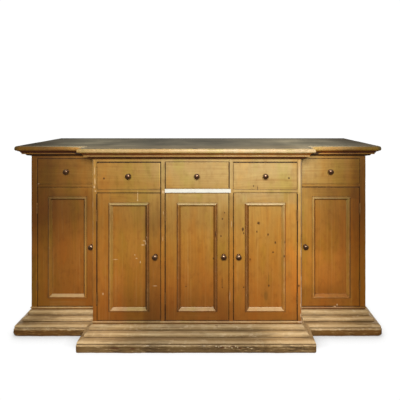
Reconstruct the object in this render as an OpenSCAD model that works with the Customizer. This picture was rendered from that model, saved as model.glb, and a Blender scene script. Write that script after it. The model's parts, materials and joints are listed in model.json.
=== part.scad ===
// Low breakfront sideboard in pine: five bays, each with one inset drawer over one inset door.
// Millimetres. Front faces -Y, +Z up, origin under the middle of the whole piece.

/* [Overall] */
// Height from the floor to the top surface
total_h = 1050; // [1040:1:1080]
// Clear width of every bay opening
bay_w = 344; // [320:1:360]
// Depth from the front of the end bays to the back
side_d = 404; // [380:1:440]
// How far the middle three bays stand forward
break_d = 112; // [80:1:140]

/* [Carcass] */
// Thickness of the partitions and end panels
board_t = 22; // [20:0.5:26]
// Width of the stile at each outer end
outer_stile = 33; // [30:1:40]
// Width of the stile beside each breakfront return
inner_stile = 25; // [22:1:30]
// Height of the rail between a drawer and its door
drawer_rail_h = 17; // [14:0.5:22]
// Height of the drawer openings
drawer_open_h = 148; // [130:1:160]
// Thickness of the back boards
back_t = 12; // [8:0.5:16]
// Number of back boards
back_n = 11; // [7:1:15]

/* [Plinth] */
// Height of the whole plinth
plinth_h = 105; // [100:1:115]
// How far the plinth stands out from the carcass
plinth_out = 62; // [60:1:70]
// Height of the flat base board
base_h = 39; // [34:1:46]

/* [Top] */
// Thickness of the top boards and their nosing
top_t = 22; // [20:0.5:26]
// How far the nosing stands out from the carcass
nose_out = 58; // [54:1:64]

/* [Doors and drawers] */
// Gap all round a door or drawer front
gap = 2.25; // [1.5:0.25:2.5]
// Thickness of door frames and drawer fronts
front_t = 20; // [18:0.5:22]
// Top rail seen between a door's edge and its panel moulding
frame_show = 52.5; // [45:0.5:60]
// The same at the bottom rail
foot_show = 46; // [40:0.5:60]
// Left stile seen beside the moulding of each door
left_show = [60, 61, 61, 61, 66];
// Right stile seen beside the moulding of each door
right_show = [55, 61, 61, 61, 52.5];
// Width of the panel moulding
mould_w = 21.5; // [20:0.5:26]
// How far the panel moulding stands proud of the frame
mould_h = 8; // [6:0.5:9]
// Diameter of a knob
knob_d = 30; // [24:1:36]
// How far a knob stands out
knob_out = 28; // [22:1:34]

/* [Hinges] */
// Radius of a hinge knuckle
knuckle_r = 2.6; // [2.4:0.1:2.8]
// Radius of a hinge pin
pin_r = 1.2; // [1:0.1:1.3]
// Height of a hinge
hinge_h = 60; // [50:1:70]

/* [Hidden] */
e = 0.15;
lap = 10;                       // moulding laid over the frame
panel_back = 6;                 // panel face behind the frame face
panel_t = 8;
recess = 0.8;                   // fronts sit this far behind the carcass face
x1 = bay_w / 2;
x2 = x1 + board_t;
x3 = x2 + bay_w;
x4 = x3 + board_t;
x5 = x4 + inner_stile;
x6 = x5 + bay_w;
x7 = x6 + outer_stile;
yB = (plinth_out + break_d + side_d) / 2;
yS = yB - side_d;
yC = yS - break_d;
yI = yB - back_t;               // inner face of the back boards
zT = total_h - top_t;           // underside of the top
zF = plinth_h + 15;             // top of the floor boards
zU = zT - 55;                   // underside of the top rails
zD = zU - drawer_open_h;        // top of the drawer rails
zR = zD - drawer_rail_h;        // underside of the drawer rails
door_z0 = zF + gap;
door_h = zR - gap - door_z0;
door_w = bay_w - 2 * gap;
rail_up = 2.5;                  // the middle rail sits this much higher

// Bays: left edge, right edge, front plane, door hinge side (-1 left, 1 right)
BAYS = [
    [-x6, -x5, yS, -1],
    [-x3, -x2, yC, -1],
    [-x1, x1, yC, -1],
    [x2, x3, yC, 1],
    [x5, x6, yS, 1]
];
function xl(i) = BAYS[i][0];
function xr(i) = BAYS[i][1];
function yf(i) = BAYS[i][2];
function hs(i) = BAYS[i][3];
function lift(i) = i == 2 ? rail_up : 0;
// top gap over each drawer front: two of them hang a little low
function top_gap(i) = (i == 1 || i == 3) ? 4 : 2;
// hinge heights above the door's bottom edge
HINGES = [90, door_h - 90 - hinge_h];

// Outline of the carcass in plan, from the left back corner round the front
PATH = [[-x7, yB], [-x7, yS], [-x4, yS], [-x4, yC], [x4, yC], [x4, yS], [x7, yS], [x7, yB]];
// Mitre at each outline corner: 1 outer, -1 inner, 0 square end
MITRE = [0, 1, -1, 1, 1, -1, 1, 0];

function arc(cx, cz, rx, rz, a0, a1, n) =
    [for (i = [0:n]) let (a = a0 + (a1 - a0) * i / n) [cx + rx * cos(a), cz + rz * sin(a)]];

pine = [0.66, 0.47, 0.22];
raw_pine = [0.78, 0.62, 0.40];
old_paint = [0.42, 0.42, 0.36];
off_white = [0.93, 0.92, 0.86];
dark_metal = [0.16, 0.11, 0.08];

// A box given by its low and high corners
module box(a, b) {
    translate(a) cube([b[0] - a[0], b[1] - a[1], b[2] - a[2]]);
}

// One length of moulding along a straight run, cut to its mitres.
// prof is [outward, height] points, p0..p1 and z0..z1 its box.
module length_of(prof, len, m0, m1, p0, p1, z0, z1) {
    intersection() {
        translate([len + p1 + 5, 0, 0]) rotate([90, 0, -90])
            linear_extrude(height = len + 2 * p1 + 10) polygon(prof);
        translate([0, 0, z0 - 1]) linear_extrude(height = z1 - z0 + 2)
            polygon([
                [e - m0 * (p0 - 1), -(p0 - 1)], [len - e + m1 * (p0 - 1), -(p0 - 1)],
                [len - e + m1 * (p1 + 1), -(p1 + 1)], [e - m0 * (p1 + 1), -(p1 + 1)]
            ]);
    }
}

// The same moulding mitred all round the carcass front and ends
module run(prof, p0, p1, z0, z1) {
    for (i = [0:6]) {
        a = PATH[i];
        b = PATH[i + 1];
        len = norm(b - a);
        ang = atan2(b[1] - a[1], b[0] - a[0]);
        translate([a[0], a[1], 0]) rotate([0, 0, ang])
            length_of(prof, len, MITRE[i], MITRE[i + 1], p0, p1, z0, z1);
    }
}

// ---- top ----
module top_boards() {
    q = 20;
    ym = (yS - q + yB) / 2;
    color(old_paint) {
        box([-x7 - q, yS - q + e, zT], [x7 + q, ym - e, total_h]);
        box([-x7 - q, ym + e, zT], [x7 + q, yB, total_h]);
        box([-x4 - q, yC - q, zT], [x4 + q, yS - q - e, total_h]);
    }
}

NOSE = concat(
    [[20 + e, zT], [nose_out - 5, zT]],
    arc(nose_out - 7, zT + 9, 7, 9, -75, 0, 5),
    arc(nose_out - 8, total_h - 12, 8, 12, 10, 78, 6),
    [[nose_out - 8, total_h], [20 + e, total_h]]
);
module top_nosing() {
    color(pine) run(NOSE, 20, nose_out, zT, total_h);
}

// Cove under the nosing, with a square fillet at its foot
COVE = concat(
    [[0, zT - 22], [33, zT - 22], [34, zT - 21], [34, zT - 15], [37, zT - 14]],
    arc(51, zT - 14, 14, 11, 180, 105, 6),
    [[49, zT], [0, zT]]
);
module cornice_moulding() {
    color(pine) run(COVE, 0, nose_out, zT - 22, zT);
}

// Quarter-round bed moulding against the carcass
BED = concat(
    [[0, zT - 39.5], [4, zT - 39.5], [5, zT - 37]],
    arc(5, zT - 26, 15, 11, -78, 0, 6),
    [[20, zT - 22], [0, zT - 22]]
);
module bed_moulding() {
    color(pine) run(BED, 0, 30, zT - 39.5, zT - 22);
}

// ---- carcass ----
module end_panel(s) {
    ym = (yS + yI) / 2;
    color(pine) {
        box([s < 0 ? -x7 : x7 - board_t, yS + board_t, plinth_h], [s < 0 ? -x7 + board_t : x7, ym - e, zT]);
        box([s < 0 ? -x7 : x7 - board_t, ym + e, plinth_h], [s < 0 ? -x7 + board_t : x7, yI, zT]);
    }
}
module end_panels() { for (s = [-1, 1]) end_panel(s); }

module partitions() {
    color(pine) for (s = [-1, 1]) {
        a = s < 0 ? -x4 : x3;
        b = s < 0 ? -x2 : x1;
        box([a, yC + board_t, plinth_h], [a + board_t, yI, zT]);
        box([b, yC + board_t, plinth_h], [b + board_t, yI, zT]);
    }
}

// Recess for a hinge leaf, cut from a stile (side -1) or a door edge (side 1)
module leaf_cut(i, z, on_door) {
    s = hs(i);
    xo = s < 0 ? xl(i) : xr(i);
    xa = on_door ? xo - s * gap : xo;
    xb = on_door ? xa - s * 1.2 : xo + s * 1.2;
    box([min(xa, xb), yf(i) - 1, z], [max(xa, xb), yf(i) + 18, z + hinge_h]);
}

module front_stiles() {
    color(pine) difference() {
        for (s = [-1, 1]) {
            box([s < 0 ? -x7 : x6, yS, plinth_h], [s < 0 ? -x6 : x7, yS + board_t, zT]);
            box([s < 0 ? -x5 : x4, yS, plinth_h], [s < 0 ? -x4 : x5, yS + board_t, zT]);
            box([s < 0 ? -x4 : x3, yC, plinth_h], [s < 0 ? -x3 : x4, yC + board_t, zT]);
            box([s < 0 ? -x2 : x1, yC, plinth_h], [s < 0 ? -x1 : x2, yC + board_t, zT]);
        }
        for (i = [0:4]) for (h = HINGES) leaf_cut(i, door_z0 + h, false);
    }
}

module front_rails() {
    color(pine) for (i = [0:4]) {
        box([xl(i), yf(i), zU], [xr(i), yf(i) + board_t, zT]);
        if (i != 2) box([xl(i), yf(i), zR], [xr(i), yf(i) + 40, zD]);
        box([xl(i), yf(i), plinth_h], [xr(i), yf(i) + 40, zF]);
    }
}

// Off-white rail under the middle drawer; its thin face laps over the stiles
module centre_rail() {
    z0 = zR - 0.5;
    z1 = zD + rail_up;
    color(off_white) {
        box([-x1, yC - 0.5, z0], [x1, yC + 40, z1]);
        box([-x1 - 1, yC - 1.2, z0], [x1 + 9, yC, z1]);
    }
}

module floor_boards() {
    color(raw_pine) for (i = [0:4]) {
        a = i == 0 ? -x7 + board_t : (i == 4 ? x4 : xl(i));
        b = i == 0 ? -x4 : (i == 4 ? x7 - board_t : xr(i));
        ym = (yf(i) + 40 + yI) / 2;
        box([a, yf(i) + 40, plinth_h], [b, ym - e, zF]);
        box([a, ym + e, plinth_h], [b, yI, zF]);
    }
}

shelf_z = zF + 330;
module shelves() {
    color(raw_pine) for (i = [0:4]) {
        a = i == 0 ? -x7 + board_t : (i == 4 ? x4 : xl(i));
        b = i == 0 ? -x4 : (i == 4 ? x7 - board_t : xr(i));
        box([a + 0.5, yf(i) + 60, shelf_z], [b - 0.5, yI - 0.5, shelf_z + 18]);
    }
}

module shelf_cleats() {
    color(raw_pine) for (i = [0:4]) {
        a = i == 0 ? -x7 + board_t : (i == 4 ? x4 : xl(i));
        b = i == 0 ? -x4 : (i == 4 ? x7 - board_t : xr(i));
        box([a, yf(i) + 70, shelf_z - 22], [a + 14, yI - 10, shelf_z]);
        box([b - 14, yf(i) + 70, shelf_z - 22], [b, yI - 10, shelf_z]);
    }
}

module back_boards() {
    w = 2 * x7 / back_n;
    color(raw_pine) for (k = [0:back_n - 1])
        box([-x7 + k * w + 0.3, yI, plinth_h], [-x7 + (k + 1) * w - 0.3, yB, zT]);
}

// Runners under the drawers, guides beside the end drawers, kickers over them all
module drawer_runners() {
    color(raw_pine) for (i = [0:4]) {
        gl = i == 0 ? outer_stile - board_t : (i == 4 ? inner_stile : 0);
        gr = i == 0 ? inner_stile : (i == 4 ? outer_stile - board_t : 0);
        top = zD + lift(i);
        box([xl(i) - gl, yf(i) + 40, top - 22], [xl(i) + 18, yI, top]);
        box([xr(i) - 18, yf(i) + 40, top - 22], [xr(i) + gr, yI, top]);
        box([xl(i) - gl, yf(i) + board_t, zU], [xl(i) + 18, yI, zU + 20]);
        box([xr(i) - 18, yf(i) + board_t, zU], [xr(i) + gr, yI, zU + 20]);
        if (gl > 0) box([xl(i) - gl, yf(i) + 40, top + 0.2], [xl(i), yI, top + 26]);
        if (gr > 0) box([xr(i), yf(i) + 40, top + 0.2], [xr(i) + gr, yI, top + 26]);
    }
}

// ---- plinth ----
// Small bead at the foot of the carcass, just under the doors
BEAD = concat(
    [[0, plinth_h + 6.5], [2.4, plinth_h + 6.5]],
    arc(1, plinth_h + 10.2, 3.6, 3.2, -60, 78, 6),
    [[0, plinth_h + 14.2]]
);
module base_bead() {
    color(pine) run(BEAD, 0, 5, plinth_h + 6, plinth_h + 15);
}

BASE = concat(
    [[plinth_out - 22, 0], [plinth_out, 0]],
    arc(plinth_out - 4, base_h - 4, 4, 4, 0, 80, 4),
    [[plinth_out - 5, base_h], [plinth_out - 22, base_h]]
);
module plinth_base() {
    color(pine) run(BASE, plinth_out - 22, plinth_out, 0, base_h);
}

// Heights where the steps meet
STEP_Z = [base_h, base_h + (plinth_h - base_h) * 0.258, base_h + (plinth_h - base_h) * 0.606, plinth_h];
// Nose position of each step, and where its tread starts
NOSES = [plinth_out - 3, plinth_out * 32 / 62, plinth_out * 13 / 62];
function step_prof(n) =
    let (p = NOSES[n], z0 = STEP_Z[n] + e, z1 = STEP_Z[n + 1] - e, r = n == 1 ? 17 : 12)
    concat(
        [[-20, z0], [p - 2, z0], [p - 0.6, z0 + 1.6]],
        arc(p - r, z1 - r - 1.2, r, r, 8, 82, 7),
        [[p - r - 1.5, z1], [-20, z1]]
    );
module plinth_steps() {
    color(pine) for (n = [0:2])
        run(step_prof(n), -20, NOSES[n], STEP_Z[n], STEP_Z[n + 1]);
}

module plinth_bearers() {
    color(raw_pine) {
        // front bearers under the steps
        box([-x4 + 20, yC + 20 + e, 0], [x4 - 20, yC + 45, plinth_h]);
        for (s = [-1, 1]) {
            box([s < 0 ? -x7 + 20 + e : x4 + 20, yS + 20 + e, 0], [s < 0 ? -x4 - 20 : x7 - 20 - e, yS + 45, plinth_h]);
            box([s < 0 ? -x7 + 20 + e : x7 - 45, yS + 46, 0], [s < 0 ? -x7 + 45 : x7 - 20 - e, yB - 23, plinth_h]);
            box([s < 0 ? -x4 + 21 : x4 - 46, yC + 46, 0], [s < 0 ? -x4 + 46 : x4 - 21, yB - 23, plinth_h]);
            box([s < 0 ? -x1 - 22 : x1, yC + 46, 0], [s < 0 ? -x1 : x1 + 22, yB - 23, plinth_h]);
        }
        // back board of the plinth
        box([-x7 + 20 + e, yB - 22, 0], [x7 - 20 - e, yB, plinth_h]);
    }
}

// ---- hinges: the fixed leaf carries the pin and the outer knuckles ----
module at_hinge(i, k) {
    s = hs(i);
    xo = s < 0 ? xl(i) : xr(i);
    translate([xo - s * gap / 2, yf(i) - knuckle_r - 0.4, door_z0 + HINGES[k]]) children();
}
module hinge_fixed_leaves() {
    third = hinge_h / 3;
    color(dark_metal) for (i = [0:4]) for (k = [0, 1]) at_hinge(i, k) {
        s = hs(i);
        a = min(s * gap / 2, s * (gap / 2 + 1.2));
        cylinder(r = pin_r, h = hinge_h, $fn = 48);
        for (z = [0, 2 * third + 0.15]) translate([0, 0, z]) {
            cylinder(r = knuckle_r, h = third - 0.15, $fn = 48);
            translate([a, 0, 0]) cube([1.2, knuckle_r + 0.4 + 1, third - 0.15]);
        }
        translate([a, knuckle_r + 0.7, 0]) cube([1.2, 17.5, hinge_h]);
    }
}
module moving_leaves(i) {
    third = hinge_h / 3;
    s = hs(i);
    b = min(-s * gap / 2, -s * (gap / 2 + 1.2));
    color(dark_metal) for (k = [0, 1]) at_hinge(i, k) difference() {
        union() {
            translate([0, 0, third + 0.15]) {
                cylinder(r = knuckle_r, h = third - 0.3, $fn = 48);
                translate([b, 0, 0]) cube([1.2, knuckle_r + 0.4 + 1.5, third - 0.3]);
            }
            translate([b, knuckle_r + 0.4 + recess, 0]) cube([1.2, 17 - recess, hinge_h]);
        }
        translate([0, 0, -1]) cylinder(r = pin_r + 0.05, h = hinge_h + 2, $fn = 48);
    }
}

// Ball catch behind the free top corner of each door; it is the door's stop as well
module door_catches() {
    color(dark_metal) for (i = [0:4]) {
        x = hs(i) < 0 ? xr(i) - 70 : xl(i) + 30;
        z = zR + (i == 2 ? -0.5 : 0);
        box([x, yf(i) + recess + front_t + 0.4, z - 12], [x + 40, yf(i) + 38, z]);
    }
}

// ---- drawers ----
function dz0(i) = zD + lift(i) + 1.5;
function dz1(i) = zU - top_gap(i);
module drawer_front(i) {
    xc = (xl(i) + xr(i)) / 2;
    color(pine) difference() {
        box([xl(i) + gap, yf(i) + recess, dz0(i)], [xr(i) - gap, yf(i) + recess + front_t, dz1(i)]);
        translate([xc, yf(i) - 1, zD + 73]) rotate([-90, 0, 0]) cylinder(r = 3.1, h = front_t + 4, $fn = 32);
    }
}
module drawer_box(i) {
    a = xl(i) + gap + 0.5;
    b = xr(i) - gap - 0.5;
    y0 = yf(i) + recess + front_t;
    y1 = yB - 39;
    z0 = zD + lift(i) + 0.4;
    z1 = z0 + 112;
    color(raw_pine) {
        box([a, y0, z0], [a + 12, y1, z1]);
        box([b - 12, y0, z0], [b, y1, z1]);
        box([a + 12 + e, y1 - 14, z0 + 18], [b - 12 - e, y1 - 2, z1 - 8]);
        box([a + 12 + e, y0, z0 + 10], [b - 12 - e, y1 - 2, z0 + 16]);
    }
}

KNOB = concat(
    [[0, 0], [10.5, 0], [11, 1], [11, 2.2], [9.6, 3.2], [6.2, 4.2], [5, 6], [4.8, 9.5], [6, 11.6]],
    arc(0, knob_out - 8.6, knob_d / 2, 8.6, -62, 90, 14)
);
// Turned knob on a shank with a washer and nut behind
module knob(x, y, z, through) {
    translate([x, y, z]) rotate([90, 0, 0]) color(dark_metal) {
        rotate_extrude($fn = 64) polygon(KNOB);
        translate([0, 0, -through - 6]) cylinder(r = 3, h = through + 7, $fn = 32);
        translate([0, 0, -through - 4.5]) cylinder(r = 6, h = 4.5, $fn = 6);
    }
}
module drawer_knob(i) {
    knob((xl(i) + xr(i)) / 2, yf(i) + recess, zD + 73, front_t);
}

// ---- doors ----
rail_w = frame_show + lap;
foot_w = foot_show + lap;
function wl(i) = left_show[i] + lap;
function wr(i) = right_show[i] + lap;
knob_in = 29;
knob_z = 468;
function knob_x(i) = hs(i) < 0 ? xr(i) - knob_in : xl(i) + knob_in;

module door_frame(i) {
    a = xl(i) + gap;
    b = xr(i) - gap;
    y0 = yf(i) + recess;
    y1 = y0 + front_t;
    z0 = door_z0;
    z1 = door_z0 + door_h;
    color(pine) difference() {
        union() {
            box([a, y0, z0], [a + wl(i), y1, z1]);
            box([b - wr(i), y0, z0], [b, y1, z1]);
            box([a + wl(i) + e, y0, z0], [b - wr(i) - e, y1, z0 + foot_w]);
            box([a + wl(i) + e, y0, z1 - rail_w], [b - wr(i) - e, y1, z1]);
        }
        // groove for the panel
        box([a + wl(i) - 8, y0 + panel_back, z0 + foot_w - 8],
            [b - wr(i) + 8, y0 + panel_back + panel_t, z1 - rail_w + 8]);
        for (h = HINGES) leaf_cut(i, z0 + h, true);
        translate([knob_x(i), y0 - 1, knob_z]) rotate([-90, 0, 0]) cylinder(r = 3.1, h = front_t + 4, $fn = 32);
    }
}
module door_panel(i) {
    y0 = yf(i) + recess + panel_back;
    color(pine)
        box([xl(i) + gap + wl(i) - 7.5, y0, door_z0 + foot_w - 7.5],
            [xr(i) - gap - wr(i) + 7.5, y0 + panel_t, door_z0 + door_h - rail_w + 7.5]);
}

// Panel moulding: [inwards from its outer edge, proud of the frame face]
MOULD = concat(
    [[0, 0], [0, 1.6], [1, 2.4]],
    arc(9.4, 1.6, 8, mould_h - 1.6, 170, 90, 6),
    [[10.4, mould_h - 0.5]],
    [[mould_w - 2.6, -panel_back + 1.6], [mould_w - 1.4, -panel_back + 0.9], [mould_w - 0.2, -panel_back + 0.7]],
    [[mould_w, -panel_back], [lap + e, -panel_back], [lap + e, 0]]
);
module mould_length(len) {
    intersection() {
        translate([len + 5, 0, 0]) rotate([90, 0, -90]) linear_extrude(height = len + 10)
            polygon([for (q = MOULD) [-q[0], q[1]]]);
        translate([0, 0, -panel_back - 1]) linear_extrude(height = mould_h + panel_back + 2)
            polygon([[e, 0], [len - e, 0], [len - mould_w - 1 - e, mould_w + 1], [mould_w + 1 + e, mould_w + 1]]);
    }
}
module door_moulding(i) {
    a = xl(i) + gap + left_show[i];
    b = xr(i) - gap - right_show[i];
    z0 = door_z0 + foot_show;
    z1 = door_z0 + door_h - frame_show;
    w = b - a;
    h = z1 - z0;
    color(pine) translate([a, yf(i) + recess, z0]) rotate([90, 0, 0]) {
        mould_length(w);
        translate([w, 0, 0]) rotate([0, 0, 90]) mould_length(h);
        translate([w, h, 0]) rotate([0, 0, 180]) mould_length(w);
        translate([0, h, 0]) rotate([0, 0, -90]) mould_length(h);
    }
}
module door_knob(i) {
    knob(knob_x(i), yf(i) + recess, knob_z, front_t);
}

// ---- one module per piece ----
module drawer_1_front() { drawer_front(0); }
module drawer_2_front() { drawer_front(1); }
module drawer_3_front() { drawer_front(2); }
module drawer_4_front() { drawer_front(3); }
module drawer_5_front() { drawer_front(4); }
module drawer_1_box() { drawer_box(0); }
module drawer_2_box() { drawer_box(1); }
module drawer_3_box() { drawer_box(2); }
module drawer_4_box() { drawer_box(3); }
module drawer_5_box() { drawer_box(4); }
module drawer_1_knob() { drawer_knob(0); }
module drawer_2_knob() { drawer_knob(1); }
module drawer_3_knob() { drawer_knob(2); }
module drawer_4_knob() { drawer_knob(3); }
module drawer_5_knob() { drawer_knob(4); }
module door_1_frame() { door_frame(0); }
module door_2_frame() { door_frame(1); }
module door_3_frame() { door_frame(2); }
module door_4_frame() { door_frame(3); }
module door_5_frame() { door_frame(4); }
module door_1_panel() { door_panel(0); }
module door_2_panel() { door_panel(1); }
module door_3_panel() { door_panel(2); }
module door_4_panel() { door_panel(3); }
module door_5_panel() { door_panel(4); }
module door_1_moulding() { door_moulding(0); }
module door_2_moulding() { door_moulding(1); }
module door_3_moulding() { door_moulding(2); }
module door_4_moulding() { door_moulding(3); }
module door_5_moulding() { door_moulding(4); }
module door_1_knob() { door_knob(0); }
module door_2_knob() { door_knob(1); }
module door_3_knob() { door_knob(2); }
module door_4_knob() { door_knob(3); }
module door_5_knob() { door_knob(4); }
module door_1_hinges() { moving_leaves(0); }
module door_2_hinges() { moving_leaves(1); }
module door_3_hinges() { moving_leaves(2); }
module door_4_hinges() { moving_leaves(3); }
module door_5_hinges() { moving_leaves(4); }

top_boards();
top_nosing();
cornice_moulding();
bed_moulding();
end_panels();
partitions();
front_stiles();
front_rails();
centre_rail();
floor_boards();
shelves();
shelf_cleats();
back_boards();
drawer_runners();
base_bead();
plinth_base();
plinth_steps();
plinth_bearers();
hinge_fixed_leaves();
door_catches();
drawer_1_front();
drawer_1_box();
drawer_1_knob();
drawer_2_front();
drawer_2_box();
drawer_2_knob();
drawer_3_front();
drawer_3_box();
drawer_3_knob();
drawer_4_front();
drawer_4_box();
drawer_4_knob();
drawer_5_front();
drawer_5_box();
drawer_5_knob();
door_1_frame();
door_1_panel();
door_1_moulding();
door_1_knob();
door_1_hinges();
door_2_frame();
door_2_panel();
door_2_moulding();
door_2_knob();
door_2_hinges();
door_3_frame();
door_3_panel();
door_3_moulding();
door_3_knob();
door_3_hinges();
door_4_frame();
door_4_panel();
door_4_moulding();
door_4_knob();
door_4_hinges();
door_5_frame();
door_5_panel();
door_5_moulding();
door_5_knob();
door_5_hinges();
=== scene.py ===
import json
import math

import bpy
import numpy as np
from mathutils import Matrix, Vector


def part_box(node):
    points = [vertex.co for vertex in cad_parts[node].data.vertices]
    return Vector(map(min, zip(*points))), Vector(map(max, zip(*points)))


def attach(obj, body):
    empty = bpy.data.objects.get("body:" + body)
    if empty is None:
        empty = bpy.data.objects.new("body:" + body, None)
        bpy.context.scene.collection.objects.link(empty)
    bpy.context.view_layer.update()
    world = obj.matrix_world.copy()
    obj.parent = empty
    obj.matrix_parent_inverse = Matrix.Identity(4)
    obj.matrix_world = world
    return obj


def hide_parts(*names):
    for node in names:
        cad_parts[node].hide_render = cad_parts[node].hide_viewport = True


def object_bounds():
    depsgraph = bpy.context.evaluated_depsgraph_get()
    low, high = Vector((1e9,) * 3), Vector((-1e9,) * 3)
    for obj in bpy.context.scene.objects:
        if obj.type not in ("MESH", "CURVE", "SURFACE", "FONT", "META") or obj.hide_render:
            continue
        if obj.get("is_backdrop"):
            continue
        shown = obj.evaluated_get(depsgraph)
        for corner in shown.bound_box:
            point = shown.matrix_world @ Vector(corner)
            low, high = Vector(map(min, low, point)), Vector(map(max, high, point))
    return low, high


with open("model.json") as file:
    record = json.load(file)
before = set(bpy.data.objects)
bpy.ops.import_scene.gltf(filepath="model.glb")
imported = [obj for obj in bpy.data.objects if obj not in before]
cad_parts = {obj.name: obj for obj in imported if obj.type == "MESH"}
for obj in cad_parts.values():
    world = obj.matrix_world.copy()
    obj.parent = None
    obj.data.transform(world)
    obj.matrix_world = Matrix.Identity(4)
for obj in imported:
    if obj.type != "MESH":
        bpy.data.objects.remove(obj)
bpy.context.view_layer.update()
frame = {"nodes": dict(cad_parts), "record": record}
scene = bpy.context.scene
MM = 0.001

BODY = {}
for body_name, members in frame["record"]["behaviour"]["bodies"].items():
    for member in members:
        BODY[member] = body_name

# ---------------------------------------------------------------- places, in metres
X4, X7 = 0.560, 0.962          # half widths of the middle section and of the carcass
YS, YC, YB = -0.115, -0.227, 0.289   # front planes of the end bays and of the middle, and the back
ZT, TOP = 1.028, 1.050
PLINTH = 0.105
PATH = [(-X7, YB), (-X7, YS), (-X4, YS), (-X4, YC), (X4, YC), (X4, YS), (X7, YS), (X7, YB)]
MITRE = [0, 1, -1, 1, 1, -1, 1, 0]
GAP = 0.00225
BAYS = [(-0.929, -0.585, YS, -1), (-0.538, -0.194, YC, -1), (-0.172, 0.172, YC, -1),
        (0.194, 0.538, YC, 1), (0.585, 0.929, YS, 1)]


# ---------------------------------------------------------------- mesh helpers
def waves(p, seed, freq, n=7):
    """A smooth seeded noise, about -1 to 1, at points p."""
    rng = np.random.RandomState(seed)
    k = rng.normal(size=(n, 3))
    k /= np.linalg.norm(k, axis=1)[:, None]
    k *= 2 * math.pi * freq * rng.uniform(0.5, 1.7, (n, 1))
    ph = rng.uniform(0, 2 * math.pi, n)
    return np.sin(p @ k.T + ph).sum(1) / (0.55 * n)


def cuts(length, r, step):
    """Where a board is divided along one axis: close together at its arrises."""
    near = [0.0, 0.3 * r, 0.65 * r, r, 1.7 * r]
    if length < 3.6 * r:
        half = [length * t for t in (0.0, 0.12, 0.28)]
        return np.array(half + [length - h for h in reversed(half)])
    inner_lo, inner_hi = near[-1], length - near[-1]
    n = max(1, int(round((inner_hi - inner_lo) / step)))
    mid = list(np.linspace(inner_lo, inner_hi, n + 1))[1:-1]
    return np.array(near + mid + [length - h for h in reversed(near)])


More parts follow.
